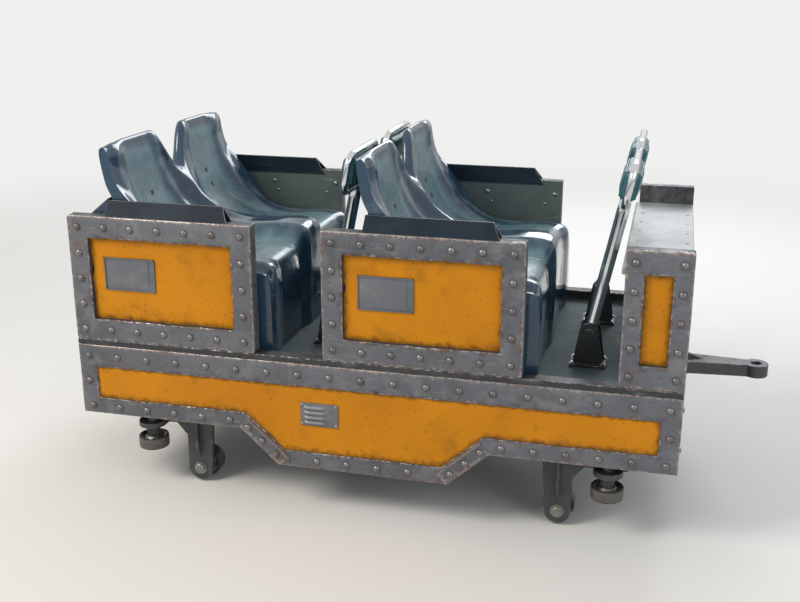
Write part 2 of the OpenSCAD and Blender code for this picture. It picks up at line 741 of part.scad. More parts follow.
// Lap bar: hub on the pin, upright tube and the closed handle loop round the pad
module lap_bar(x, side) {
    half = loop_width / 2;
    low = bar_reach;
    high = bar_reach + loop_height;
    flat = half - loop_corner;
    tall = loop_height - 2 * loop_corner;
    collar = 4;             // weld collar round the foot of the tube
    collar_rise = 10;       // its height above the hub
    color("lightsteelblue") translate([x + pivot_x, side * lap_y, pivot_z]) rotate([0, open_lean, 0])
        difference() {
            union() {
                rotate([90, 0, 0]) cylinder(r = hub_radius, h = hub_length, center = true, $fn = 48);
                cylinder(r = bar_radius, h = low, $fn = 40);
                cylinder(r = bar_radius + collar, h = hub_radius + collar_rise, $fn = 40);
                for (z = [low, high]) translate([0, flat, z]) rotate([90, 0, 0])
                    cylinder(r = loop_tube, h = 2 * flat, $fn = 24);
                for (y = [-half, half]) translate([0, y, low + loop_corner])
                    cylinder(r = loop_tube, h = tall, $fn = 24);
                loop_corner_at(flat, high - loop_corner, 0);
                loop_corner_at(-flat, high - loop_corner, 90);
                loop_corner_at(-flat, low + loop_corner, 180);
                loop_corner_at(flat, low + loop_corner, 270);
            }
            rotate([90, 0, 0])
                cylinder(r = pivot_pin + pin_fit, h = hub_length + 2 * cut, center = true, $fn = 32);
        }
}

// Rectangle about the origin with round corners
module round_rectangle(width, height, radius) {
    square([width - 2 * radius, height], center = true);
    square([width, height - 2 * radius], center = true);
    for (x = [-1, 1] * (width / 2 - radius), y = [-1, 1] * (height / 2 - radius))
        translate([x, y]) circle(r = radius, $fn = 40);
}

// Pad inside the handle loop: its round outline seen from the front meets the one seen from the side
module lap_pad(x, side) {
    side_gap = 8;
    corner = 28;            // wider than the loop's inner corner needs
    width = loop_width - 2 * (loop_tube + side_gap);
    height = loop_height - 2 * (loop_tube + seat_fit);
    color("teal") translate([x + pivot_x, side * lap_y, pivot_z]) rotate([0, open_lean, 0])
        translate([0, 0, bar_reach + loop_height / 2]) intersection() {
            rotate([90, 0, 0]) linear_extrude(height = width + 2 * cut, center = true)
                round_rectangle(pad_depth, height, pad_round);
            cross_plate(pad_depth + 2 * cut) round_rectangle(width, height, corner);
        }
}

// Front coupler: flange, gussets and a tongue that narrows to its upright eye
module front_coupler() {
    root_half = 44;
    tongue_half = 25;
    tongue_height = 40;
    gusset_wall = 10;
    gusset_run = 60;
    flange_x = frame_end + flange_wall;
    half_height = tongue_height / 2;
    color("dimgray") difference() {
        union() {
            span([frame_end, -flange_half, frame_z], [flange_x, flange_half, frame_top]);
            translate([0, 0, coupling_z]) linear_extrude(height = tongue_height, center = true)
                polygon([[flange_x, -root_half], [coupling_x, -tongue_half], [coupling_x, tongue_half],
                    [flange_x, root_half]]);
            side_plate(-gusset_wall / 2, gusset_wall / 2) polygon([[flange_x, frame_z],
                [flange_x + gusset_run, coupling_z - half_height], [flange_x + gusset_run,
                coupling_z + half_height], [flange_x, frame_top]]);
            translate([coupling_x, 0, coupling_z])
                cylinder(r = eye_radius, h = tongue_height, center = true, $fn = 64);
        }
        translate([coupling_x, 0, coupling_z])
            cylinder(r = coupling_bore, h = tongue_height + 2 * cut, center = true, $fn = 48);
    }
}

// Rear coupler: flange and a fork whose two ears take the tongue
module rear_coupler() {
    fork_gap = 50;
    ear = 16;
    arm_half = 30;
    throat = 30;            // from the eye's edge to the root of the fork
    root_x = -coupling_x + eye_radius + throat;
    color("dimgray") difference() {
        union() {
            span([-frame_end - flange_wall, -flange_half, frame_z], [-frame_end, flange_half, frame_top]);
            span([root_x, -arm_half, coupling_z - fork_gap / 2 - ear],
                [-frame_end - flange_wall, arm_half, coupling_z + fork_gap / 2 + ear]);
            for (z = [-fork_gap / 2 - ear, fork_gap / 2]) {
                span([-coupling_x, -arm_half, coupling_z + z], [root_x, arm_half, coupling_z + z + ear]);
                translate([-coupling_x, 0, coupling_z + z]) cylinder(r = eye_radius, h = ear, $fn = 64);
            }
        }
        translate([-coupling_x, 0, coupling_z])
            cylinder(r = coupling_bore, h = fork_gap + 2 * ear + 2 * cut, center = true, $fn = 48);
    }
}

chassis_frame();
brake_fin();
end_plates();
front_axle();
rear_axle();
floor_pan();
thresholds();
skirt_frames();
skirt_bands();
row_panel(front_row_x, 1);  // panel_front_left
row_panel(front_row_x, -1);  // panel_front_right
row_panel(rear_row_x, 1);  // panel_rear_left
row_panel(rear_row_x, -1);  // panel_rear_right
nose_panels();
side_inlays();
side_linings();
coamings();
front_bulkhead();
front_deck();
rear_bulkhead();
junction_box();
seat_row(front_row_x);  // seat_row_front
seat_row(rear_row_x);  // seat_row_rear
lap_bar_pedestals();
lap_bar(front_row_x, 1);  // lap_bar_front_left
lap_bar(front_row_x, -1);  // lap_bar_front_right
lap_bar(rear_row_x, 1);  // lap_bar_rear_left
lap_bar(rear_row_x, -1);  // lap_bar_rear_right
lap_pad(front_row_x, 1);  // lap_pad_front_left
lap_pad(front_row_x, -1);  // lap_pad_front_right
lap_pad(rear_row_x, 1);  // lap_pad_rear_left
lap_pad(rear_row_x, -1);  // lap_pad_rear_right
front_coupler();
rear_coupler();
running_wheel(1, 1);  // running_wheel_front_left
running_wheel(1, -1);  // running_wheel_front_right
running_wheel(-1, 1);  // running_wheel_rear_left
running_wheel(-1, -1);  // running_wheel_rear_right
guide_wheel(1, 1);  // guide_wheel_front_left
guide_wheel(1, -1);  // guide_wheel_front_right
guide_wheel(-1, 1);  // guide_wheel_rear_left
guide_wheel(-1, -1);  // guide_wheel_rear_right
upstop_wheel(1, 1);  // upstop_wheel_front_left
upstop_wheel(1, -1);  // upstop_wheel_front_right
upstop_wheel(-1, 1);  // upstop_wheel_rear_left
upstop_wheel(-1, -1);  // upstop_wheel_rear_right
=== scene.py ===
# Looks of the mine-train car: riveted bodywork, bucket seats, lap bars and running gear on the packed
# frame
import json
import math
import bmesh
import bpy
from mathutils import Matrix, Vector, noise
from mathutils.bvhtree import BVHTree


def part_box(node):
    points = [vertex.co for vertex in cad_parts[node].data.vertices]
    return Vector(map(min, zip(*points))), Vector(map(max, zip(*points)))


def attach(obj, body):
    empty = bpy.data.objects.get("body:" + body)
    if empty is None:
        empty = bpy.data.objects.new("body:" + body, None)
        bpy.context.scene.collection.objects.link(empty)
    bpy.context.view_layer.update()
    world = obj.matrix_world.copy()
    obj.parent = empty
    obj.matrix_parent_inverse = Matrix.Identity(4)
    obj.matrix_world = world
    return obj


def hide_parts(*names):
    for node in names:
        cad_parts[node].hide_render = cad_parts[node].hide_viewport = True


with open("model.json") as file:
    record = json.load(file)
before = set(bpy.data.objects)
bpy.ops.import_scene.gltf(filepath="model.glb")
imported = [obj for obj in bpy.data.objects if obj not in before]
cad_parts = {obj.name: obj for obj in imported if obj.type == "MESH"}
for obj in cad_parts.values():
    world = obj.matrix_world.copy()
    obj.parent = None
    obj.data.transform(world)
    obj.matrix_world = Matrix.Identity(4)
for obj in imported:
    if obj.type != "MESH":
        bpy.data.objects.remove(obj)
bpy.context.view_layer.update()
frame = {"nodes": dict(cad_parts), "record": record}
scene = bpy.context.scene
sides = {"left": 1, "right": -1}
ends = {"front": 1, "rear": -1}

# places that everything below is measured from, read from the frame
rowBox = {end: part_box("panel_" + end + "_left") for end in ends}
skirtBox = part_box("skirt_frames")
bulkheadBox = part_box("front_bulkhead")
car = {
    "halfWidth": rowBox["front"][1].y,
    "halfLength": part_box("floor_pan")[1].x,
    "liningY": rowBox["front"][0].y,
    "innerY": bulkheadBox[1].y,
    "panelLow": rowBox["front"][0].z,
    "panelHigh": rowBox["front"][1].z,
    "noseX": bulkheadBox[0].x,
    "floorTop": bulkheadBox[0].z,
    "skirtTop": skirtBox[1].z,
    "skirtDeep": skirtBox[0].z,
}


def toLinear(hexColour):
    parts = [int(hexColour[i:i + 2], 16) / 255 for i in (1, 3, 5)]
    return [p / 12.92 if p <= 0.04045 else ((p + 0.055) / 1.055) ** 2.4 for p in parts] + [1.0]


def addNode(tree, kind, inputs=None, **settings):
    # inputs: socket name or number, to a value, to a socket or to a node whose first output is meant
    node = tree.nodes.new(kind)
    for key, value in settings.items():
        setattr(node, key, value)
    for key, value in (inputs or {}).items():
        if isinstance(value, bpy.types.Node):
            value = value.outputs[0]
        if isinstance(value, bpy.types.NodeSocket):
            tree.links.new(value, node.inputs[key])
        else:
            node.inputs[key].default_value = value
    return node


def layerMask(tree, place, layer):
    # how much of a layer shows at a point, from 0 to 1
    spread = addNode(tree, "ShaderNodeMapping", {
        "Vector": place, "Scale": layer.get("stretch", (1, 1, 1)),
        "Location": layer.get("shift", (0, 0, 0))})
    scale = 1000 / layer["sizeMm"]
    if layer.get("cells"):
        field = addNode(tree, "ShaderNodeTexVoronoi", {"Vector": spread, "Scale": scale})
    else:
        field = addNode(tree, "ShaderNodeTexNoise", {
            "Vector": spread, "Scale": scale, "Detail": layer.get("detail", 4.0), "Roughness": 0.6})
    if "where" in layer:    # a mesh attribute from 0 to 1 brings the layer out
        marked = addNode(tree, "ShaderNodeAttribute", attribute_name=layer["where"]).outputs["Fac"]
        field = addNode(tree, "ShaderNodeMath", {
            0: marked, 1: layer.get("gain", 1.0), 2: field}, operation="MULTIPLY_ADD")
    low, high = layer["span"]
    return addNode(tree, "ShaderNodeMapRange", {
        "Value": field, "From Min": low, "From Max": high, "To Max": layer.get("amount", 1.0)})


def makeFinish(name, colour, rough, layers, metal=0.0, shader=None):
    # base colour, roughness and metal, then the layers over it in their order
    material = bpy.data.materials.new(name)
    material.use_nodes = True
    tree = material.node_tree
    tree.nodes.clear()
    place = addNode(tree, "ShaderNodeTexCoord").outputs["Object"]
    state = {"colour": toLinear(colour), "rough": rough, "metal": metal}
    height = 0.0
    for layer in layers:
        mask = layerMask(tree, place, layer)
        if "colour" in layer:
            state["colour"] = addNode(tree, "ShaderNodeMix", {
                0: mask, 6: state["colour"], 7: toLinear(layer["colour"])}, data_type="RGBA").outputs[2]
        for part in ("rough", "metal"):
            if part in layer:
                state[part] = addNode(tree, "ShaderNodeMix", {0: mask, 2: state[part], 3: layer[part]})
        if "raiseMm" in layer:
            height = addNode(tree, "ShaderNodeMath", {
                0: mask, 1: layer["raiseMm"], 2: height}, operation="MULTIPLY_ADD")
    inputs = {"Base Color": state["colour"], "Roughness": state["rough"], "Metallic": state["metal"],
              **(shader or {})}
    if isinstance(height, bpy.types.Node):
        inputs["Normal"] = addNode(tree, "ShaderNodeBump", {
            "Height": height, "Distance": 0.001, "Strength": 1.0})
    surface = addNode(tree, "ShaderNodeBsdfPrincipled", inputs)
    addNode(tree, "ShaderNodeOutputMaterial", {"Surface": surface})
    material.diffuse_color = toLinear(colour)
    return material


def patch(sizeMm, low, high, colour=None, **more):
    # one layer of a finish: patches of about that size, from where the noise is low to where it is high;
    # more may give rough, metal, amount, raiseMm, shift, stretch, detail, cells, where and gain
    layer = {"sizeMm": sizeMm, "span": (low, high), **more}
    if colour:
        layer["colour"] = colour
    return layer


finishes, edgeFinishes = {}, {}


def finish(slot, name, colour, rough, layers, metal=0.0, bare=None, shader=None):
    # the finish of a slot and, with bare, one for its edges, where more of the metal is rubbed bare
    finishes[slot] = makeFinish(name, colour, rough, layers, metal, shader)
    if bare is not None:
        edge = patch(18, 0.62 - bare, 0.80 - bare, "#A7A29D", rough=0.32, metal=0.8, amount=0.9)
        edgeFinishes[slot] = makeFinish(name + "Edge", colour, rough, layers + [edge], metal, shader)


# grime and painted shade where a piece's grime-and-shade attribute says, and metal bared where "wear" says
# that attribute is highest down the pocket walls of recesses, so they are painted dark as shade, with dirt
sootAndShade = patch(26, 0.62, 1.05, "#2E2723", where="grime", gain=0.75, rough=0.85, amount=0.85)
rubbedEdge = patch(12, 0.78, 0.98, "#A39A94", where="wear", gain=0.5, rough=0.34, metal=0.75, amount=0.9)
rustEdge = patch(38, 0.72, 0.92, "#6F452C", where="wear", gain=0.35, shift=(3, 1, 2), rough=0.85,
                 metal=0.0, amount=0.8, raiseMm=0.15)

# hot-rolled plate, once painted grey and rubbed by years of use: blue-grey, blotched brown
finish("frame_steel", "weatheredSteelPlate", "#64666C", 0.5, [
    patch(210, 0.40, 0.64, "#55575D"),
    patch(70, 0.52, 0.70, "#747578", shift=(5, 2, 1), amount=0.8),
    patch(9, 0.60, 0.74, "#8A8787", stretch=(0.12, 1, 1), rough=0.40, amount=0.6),
    patch(46, 0.62, 0.74, "#66493A", shift=(1, 7, 3), rough=0.82, metal=0.0, amount=0.7),
    patch(7, 0.66, 0.74, "#4B2F20", detail=2.0, rough=0.9, raiseMm=-0.25),
    sootAndShade, rustEdge, rubbedEdge,
    patch(2.2, 0.35, 0.65, detail=2.0, raiseMm=0.09)], metal=0.15)

# button-head steel rivets, rubbed bright, with brown patches
finish("rivet", "rivetSteel", "#7D797B", 0.33, [
    patch(60, 0.45, 0.62, "#67625F", rough=0.45),
    patch(24, 0.60, 0.72, "#6B4733", shift=(2, 2, 5), rough=0.8, metal=0.1),
    patch(1.6, 0.3, 0.7, detail=2.0, raiseMm=0.05)], metal=0.7)

# sheet aluminium in amber enamel: satin, a thin dark line of soot and painted shade along its edges,
# chipped to rust-brown dots, chalked by the weather so that it mirrors little
finish("yellow_paint", "yellowEnamel", "#C67F00", 0.42, [
    patch(260, 0.38, 0.66, "#B67200", amount=0.8),
    patch(110, 0.56, 0.76, "#925E06", shift=(4, 1, 0), rough=0.6, amount=0.75),
    patch(38, 0.66, 0.78, "#7A5212", shift=(0, 3, 6), rough=0.7, amount=0.6),
    patch(22, 0.13, 0.06, "#7A3E14", cells=True, stretch=(1, 0.2, 1), rough=0.8, amount=0.85,
          raiseMm=-0.12),
    patch(5, 0.66, 0.76, "#DA9A24", stretch=(0.3, 1, 1.0), amount=0.4),
    # dark brown along the edges next to the frame: soot, and painted shade of the recess
    patch(24, 0.78, 1.12, "#5A3D12", where="grime", gain=0.6, rough=0.8, amount=0.8),
    patch(30, 0.3, 0.7, detail=1.0, raiseMm=0.12)], shader={"Specular IOR Level": 0.25})

# brushed-on enamel of the lining sheets: flat grey-green, scuffed in use
finish("lining_paint", "greyGreenEnamel", "#54605D", 0.5, [
    patch(190, 0.42, 0.66, "#485554"),
    patch(12, 0.62, 0.75, "#7D8B88", stretch=(0.15, 1, 1), rough=0.6, amount=0.6),
    patch(60, 0.60, 0.75, "#3B4548", shift=(2, 0, 4), rough=0.65, amount=0.7),
    patch(3, 0.35, 0.65, detail=2.0, raiseMm=0.06)], bare=0.14)

# folded steel coaming in dark blue-grey enamel, bright along its folds: bared metal and a painted
# highlight
finish("coaming_paint", "darkBlueEnamel", "#18222D", 0.48, [
    patch(150, 0.42, 0.66, "#222E39"),
    patch(16, 0.62, 0.75, "#4D5B66", stretch=(0.1, 1, 1), rough=0.5, amount=0.4),
    patch(40, 0.63, 0.75, "#182129", shift=(1, 2, 3), rough=0.6),
    patch(3, 0.35, 0.65, detail=2.0, raiseMm=0.05)], bare=0.42, shader={"Specular IOR Level": 0.14})

# steel deck sheet in pale grey paint, worn by use
finish("deck_paint", "paleGreyDeckPaint", "#9DA3A1", 0.48, [
    patch(170, 0.40, 0.66, "#868E8E"),
    patch(14, 0.60, 0.74, "#B7BBB6", stretch=(1, 0.12, 1), amount=0.7),
    patch(55, 0.60, 0.74, "#666C6A", shift=(3, 4, 1), rough=0.65, amount=0.7),
    patch(3, 0.35, 0.65, detail=2.0, raiseMm=0.05)], bare=0.16)

# welded box steel in dark grey machine paint, in dusty, greasy and rust-stained patches
finish("chassis_steel", "darkMachinePaint", "#3C3F42", 0.5, [
    patch(160, 0.42, 0.66, "#4B4C4B"),
    patch(45, 0.60, 0.73, "#5C4331", shift=(2, 6, 1), rough=0.85, amount=0.8),
    patch(70, 0.56, 0.74, "#202122", shift=(8, 1, 4), rough=0.3, amount=0.75),
    patch(2.6, 0.35, 0.65, detail=2.0, raiseMm=0.08)], metal=0.1, bare=0.12)

# mild steel plate that was never painted well: brown rust over scale
finish("rusty_steel", "rustyMildSteel", "#5D4233", 0.82, [
    patch(120, 0.40, 0.66, "#4A4341", rough=0.6),
    patch(40, 0.50, 0.70, "#7B5238", shift=(3, 3, 0)),
    patch(12, 0.60, 0.72, "#8F5F3A", raiseMm=0.2),
    patch(2.4, 0.3, 0.7, detail=3.0, raiseMm=0.22)], metal=0.05)

# machined and ground steel with grease stains
finish("bare_steel", "groundSteel", "#9B9B98", 0.34, [
    patch(3, 0.35, 0.65, "#84837F", stretch=(0.04, 1, 1), rough=0.42, raiseMm=0.02),
    patch(60, 0.57, 0.72, "#5B5146", shift=(1, 3, 2), rough=0.6, metal=0.5, amount=0.8)], metal=1.0)

# black-painted steel strip, trodden grey
finish("dark_steel", "blackSteelStrip", "#2A2C2F", 0.5, [
    patch(80, 0.45, 0.66, "#3A3B3D", rough=0.62),
    patch(14, 0.60, 0.72, "#6D6A68", stretch=(0.2, 1, 1), metal=0.5, amount=0.7),
    patch(2.0, 0.3, 0.7, detail=2.0, raiseMm=0.08)], metal=0.1, bare=0.16)

# anti-slip epoxy with sand in it, blue-grey, dirty in patches; grit drawn at 2.5 mm so that it shows
finish("floor_coating", "grittyEpoxy", "#566469", 0.8, [
    patch(180, 0.42, 0.66, "#66726F"),
    patch(60, 0.56, 0.72, "#3C4649", shift=(2, 1, 3), amount=0.8),
    patch(2.5, 0.45, 0.12, cells=True, raiseMm=0.35)], bare=0.12)

# moulded grey polyester box, dull from the weather
finish("box_plastic", "greyPolyester", "#8D9294", 0.6, [
    patch(90, 0.42, 0.66, "#7D8285"),
    patch(25, 0.60, 0.73, "#63635F", shift=(1, 1, 4), rough=0.75, amount=0.7),
    patch(1.5, 0.3, 0.7, detail=2.0, raiseMm=0.08)])

# chrome-plated tube: mirror bright, with hand marks that dull it a little
finish("chrome", "chromePlate", "#D3D6D8", 0.07, [
    patch(30, 0.50, 0.72, rough=0.24, amount=0.8),
    patch(8, 0.66, 0.74, "#8C8B88", shift=(1, 0, 2), rough=0.4, amount=0.6)], metal=1.0)

# glass-fibre seat in blue-grey gelcoat: gloss, paler grey-green in the hollows, scuffed on the bolsters
finish("seat_shell", "blueGelcoat", "#30495D", 0.13, [
    patch(240, 0.38, 0.66, "#294054"),
    # paler grey-green in the hollows: dust, and painted light where they face up to the lamps
    patch(90, 0.58, 1.05, "#63838B", where="dust", gain=0.8, rough=0.40, amount=0.9),
    patch(30, 0.86, 1.10, "#56696A", where="dust", gain=0.5, shift=(2, 6, 1), rough=0.55, amount=0.7),
    patch(60, 0.66, 1.02, "#7F969D", where="wear", gain=0.45, rough=0.24, amount=0.55),
    patch(9, 0.66, 0.76, "#8CA0A6", stretch=(0.18, 1, 1), shift=(4, 0, 1), rough=0.45, amount=0.5),
    patch(70, 0.25, 0.75, detail=1.0, shift=(0, 5, 2), raiseMm=0.5)],
    bare=0.02, shader={"Coat Weight": 0.3, "Coat Roughness": 0.05, "IOR": 1.52,
                       "Specular IOR Level": 0.36})

# moulded vinyl skin over foam: blue-green, leather-like grain drawn at 2.4 mm
finish("pad_vinyl", "foamVinyl", "#1E5B62", 0.45, [
    patch(60, 0.45, 0.68, "#184A52"),
    patch(18, 0.62, 0.74, "#3E7A7D", shift=(2, 1, 0), rough=0.55, amount=0.6),
    patch(2.4, 0.6, 0.1, cells=True, raiseMm=0.16)],
    shader={"IOR": 1.5, "Coat Weight": 0.1, "Coat Roughness": 0.35})

# cast polyurethane tread: near black, polished grey where it rolls
finish("wheel_tread", "castPolyurethane", "#2B2A29", 0.5, [
    patch(40, 0.45, 0.68, "#3A3835"),
    patch(16, 0.7, 1.1, "#5A5751", where="wear", gain=0.6, rough=0.38, amount=0.8),
    patch(3, 0.3, 0.7, detail=2.0, raiseMm=0.08)], shader={"IOR": 1.5})

# blank aluminium number plate, dull anodised
finish("blank", "blankAluminium", "#65686E", 0.4, [
    patch(70, 0.42, 0.66, "#737779"),
    patch(12, 0.62, 0.74, "#585A61", stretch=(0.2, 1, 1), amount=0.6),
    sootAndShade], metal=0.3)
print("finishes made:", len(bpy.data.materials))


def newForm():
    form = bmesh.new()
    for layer in ("wear", "grime", "dust"):
        form.verts.layers.float.new(layer)
    return form


def smoothShade(mesh, degrees):
    mesh.polygons.foreach_set("use_smooth", [True] * len(mesh.polygons))
    mesh.set_sharp_from_angle(angle=math.radians(degrees))


def linked(name, data):
    # a new object in the scene
    made = bpy.data.objects.new(name, data)
    scene.collection.objects.link(made)
    return made


def settled(piece):
    # the piece with its modifiers worked into a plain mesh
    graph = bpy.context.evaluated_depsgraph_get()
    mesh = bpy.data.meshes.new_from_object(piece.evaluated_get(graph))
    piece.modifiers.clear()
    old = piece.data
    piece.data = mesh
    bpy.data.meshes.remove(old)


def addPiece(name, form, slot, replaced, smoothDegrees, body="car", materials=None):
    # a piece from its form, in the finish of its slot unless it has materials of its own
    bmesh.ops.recalc_face_normals(form, faces=form.faces)
    mesh = bpy.data.meshes.new(name)
    form.to_mesh(mesh)
    form.free()
    for material in materials or [finishes[slot]]:
        mesh.materials.append(material)
    smoothShade(mesh, smoothDegrees)
    piece = linked(name, mesh)
    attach(piece, body)
    if replaced:
        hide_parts(*replaced)
    return piece


rounding = {"segments": 2, "sharpDegrees": 36, "flatDegrees": 0.6, "mergeWithin": 0.00002}


def roundedNode(node, slot, radius, body="car"):
    # a copy of a CAD node with its edges rounded, and the edges in the rubbed finish
    mesh = frame["nodes"][node].data.copy()
    mesh.name = node + ".rounded"
    mesh.materials.clear()
    form = bmesh.new()
    form.from_mesh(mesh)
    bmesh.ops.remove_doubles(form, verts=form.verts, dist=rounding["mergeWithin"])
    bmesh.ops.dissolve_limit(form, angle_limit=math.radians(rounding["flatDegrees"]), verts=form.verts,
                             edges=form.edges)
    form.to_mesh(mesh)
    form.free()
    piece = linked(mesh.name, mesh)
    mesh.materials.append(finishes[slot])
    mesh.materials.append(edgeFinishes.get(slot, finishes[slot]))
    mesh.polygons.foreach_set("material_index", [0] * len(mesh.polygons))
    edges = piece.modifiers.new("edges", "BEVEL")
    edges.width = radius
    edges.segments = rounding["segments"]
    edges.limit_method = "ANGLE"
    edges.angle_limit = math.radians(rounding["sharpDegrees"])
    edges.material = 1
    edges.harden_normals = True
    smoothShade(mesh, rounding["sharpDegrees"])
    settled(piece)
    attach(piece, body)
    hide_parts(node)


def addVert(form, spot, **marks):
    # a point with its wear, its grime and painted shade, or its dust and painted light
    vert = form.verts.new(spot)
    for name, value in marks.items():
        vert[form.verts.layers.float[name]] = value
    return vert


def joinRings(form, rings, capped=False):
    # faces between each ring of points and the next
    made = []
    for before, after in zip(rings, rings[1:]):
        for k in range(len(before)):
            following = (k + 1) % len(before)
            made.append(form.faces.new((before[k], before[following], after[following], after[k])))
    if capped:
        form.faces.new(rings[0])
        form.faces.new(rings[-1])
    return made


def angles(count):
    # even steps round a circle
    return [2 * math.pi * k / count for k in range(count)]


def ringSpots(radius, height, count):
    # points round the Z axis
    return [Vector((radius * math.cos(a), radius * math.sin(a), height)) for a in angles(count)]


def evenly(first, last, count):
    return [first + (last - first) * i / (count - 1) for i in range(count)]


def ramp(value, low, high):
    t = min(1.0, max(0.0, (value - low) / (high - low)))
    return t * t * (3 - 2 * t)


def roundedOutline(corners, radius, cornerSteps, sideSteps):
    # closed outline with round corners; as many points for the same steps, whatever its size
    arcs = []
    for i, corner in enumerate(corners):
        here = Vector(corner)
        toBefore = (Vector(corners[i - 1]) - here).normalized()
        toAfter = (Vector(corners[(i + 1) % len(corners)]) - here).normalized()
        half = toBefore.angle(toAfter) / 2
        centre = here + (toBefore + toAfter).normalized() * radius / math.sin(half)
        start = here + toBefore * radius / math.tan(half) - centre
        end = here + toAfter * radius / math.tan(half) - centre
        sweep = start.angle(end)
        arc = []
        for t in evenly(0, 1, cornerSteps + 1):
            spoke = start * math.sin((1 - t) * sweep) + end * math.sin(t * sweep)
            arc.append(centre + spoke / math.sin(sweep))
        arcs.append(arc)
    points = []
    for i, arc in enumerate(arcs):
        after = arcs[(i + 1) % len(arcs)][0]
        points += arc
        points += [arc[-1].lerp(after, k / sideSteps[i]) for k in range(1, sideSteps[i])]
    return points


def uneven(outline, amount, size, seed):
    # the outline pushed in and out by a smooth, fixed noise, as by a torch cut
    finer, fineShare = 4, 0.35
    moved = []
    for i, point in enumerate(outline):
        along = outline[(i + 1) % len(outline)] - outline[i - 1]
        across = Vector((along.y, -along.x)).normalized()
        coarse = noise.noise(Vector((point.x / size, point.y / size, seed)))
        fine = noise.noise(Vector((point.x / size * finer, point.y / size * finer, seed + 9)))
        moved.append(point + across * amount * (coarse + fineShare * fine))
    return moved


def framedPlate(form, outer, inner, side, depths, kind, seed):
    # plate with a pocket: outer and inner outlines in XZ, and how far its face, pocket and back are out
    face, pocket, back = depths
    edge = kind["edge"]
    dentsPerMetre = 9
    # share of the way to the inner outline, inset, drop below the face, wear, grime and painted shade
    # the last column rises to 1 down the pocket wall, so the recess is painted dark as shade as well as
    # dirt
    profile = [(0, 0, face - back, 0.0, 0.5), (0, 0, edge, 0.7, 0.1),
               (0, 0.3 * edge, 0.3 * edge, 1.0, 0.0), (0, edge, 0, 0.7, 0.0),
               (0.25, 0, 0, 0.0, 0.0), (0.5, 0, 0, 0.0, 0.0), (0.75, 0, 0, 0.0, 0.05),
               (1, edge, 0, 0.6, 0.35), (1, 0.3 * edge, 0.3 * edge, 0.8, 0.6),
               (1, 0, edge, 0.3, 0.9), (1, 0, face - pocket, 0.0, 1.0)]
    rings = []
    for share, inset, drop, worn, dirtyAndShaded in profile:
        ring = []
        for a, b in zip(outer, inner):
            inwards = (b - a).normalized()
            spot = a.lerp(b, share) + inwards * (inset if share < 0.5 else -inset)
            depth = face - drop
            if drop <= edge:
                at = Vector((spot.x * dentsPerMetre, spot.y * dentsPerMetre, seed))
                depth += kind["dent"] * noise.noise(at)
            ring.append(addVert(form, (spot.x, side * depth, spot.y), wear=worn, grime=dirtyAndShaded))
        rings.append(ring)
    joinRings(form, rings, True)


# thin enamelled sheets: how far grime with painted shade and wear reach in, and dents that fade out
# towards the rim
sheet = {"grimeAndShadeReach": 0.022, "wearReach": 0.006, "flatRim": 0.02, "dent": 0.0016, "coarsePerMetre": 7,
         "finePerMetre": 19, "fineShare": 0.4, "slopeShare": 0.6, "biteFade": 10}


def dentedPlate(form, span, lowAt, high, face, thickness, side, cells, seed, bite=None):
    # thin plate on an upright face, its front dented, darker towards its edges with grime and painted
    # shade
    x0, x1 = span
    columns, rows = cells
    grid = []
    for i in range(columns + 1):
        line = []
        for j in range(rows + 1):
            share = i / columns
            x = x0 + (x1 - x0) * share
            low = lowAt(x)
            z = low + (high - low) * j / rows
            if bite:
                depthOfBite = bite["depth"] * max(0.0, 1 - ((z - bite["z"]) / bite["half"]) ** 2)
                x += depthOfBite * max(0.0, 1 - share * sheet["biteFade"])
            toEdge = min(x - x0, x1 - x, high - z, (z - low) * sheet["slopeShare"])
            swell = ramp(toEdge, 0, sheet["flatRim"]) * sheet["dent"]
            coarse, fine = (noise.noise(Vector((x * count, z * count, turn))) for count, turn in
                            ((sheet["coarsePerMetre"], seed), (sheet["finePerMetre"], seed + 4)))
            y = side * (face + swell * (coarse + sheet["fineShare"] * fine))
            line.append(addVert(form, (x, y, z), grime=max(0.0, 1 - toEdge / sheet["grimeAndShadeReach"]),
                                wear=max(0.0, 1 - toEdge / sheet["wearReach"])))
        grid.append(line)
    for i in range(columns):
        for j in range(rows):
            form.faces.new((grid[i][j], grid[i + 1][j], grid[i + 1][j + 1], grid[i][j + 1]))
    rim = ([grid[i][0] for i in range(columns)] + [grid[columns][j] for j in range(rows)]
           + [grid[i][rows] for i in range(columns, 0, -1)] + [grid[0][j] for j in range(rows, 0, -1)])
    back = [addVert(form, (vert.co.x, side * (face - thickness), vert.co.z), grime=1.0) for vert in rim]
    joinRings(form, [rim, back])
    form.faces.new(back)


def rectangle(x0, x1, z0, z1):
    return [(x1, z0), (x1, z1), (x0, z1), (x0, z0)]


# side panels: riveted plates round a recess, wide beside a row of seats and narrow at the nose
panel = {"stile": 0.067, "rail": 0.070, "noseStile": 0.054, "recess": 0.016, "yellowPlate": 0.006,
         "edge": 0.0032, "dent": 0.0012, "cornerRadius": 0.007, "windowRadius": 0.006, "wideFrom": 0.3,
         "cutBy": 0.0007, "cutSize": 0.09, "tornBy": 0.0026, "tornSize": 0.055, "upSteps": 16,
         "wideSteps": 24, "narrowSteps": 10}
panel["windowLow"] = car["panelLow"] + panel["rail"]
panel["windowHigh"] = car["panelHigh"] - panel["rail"]


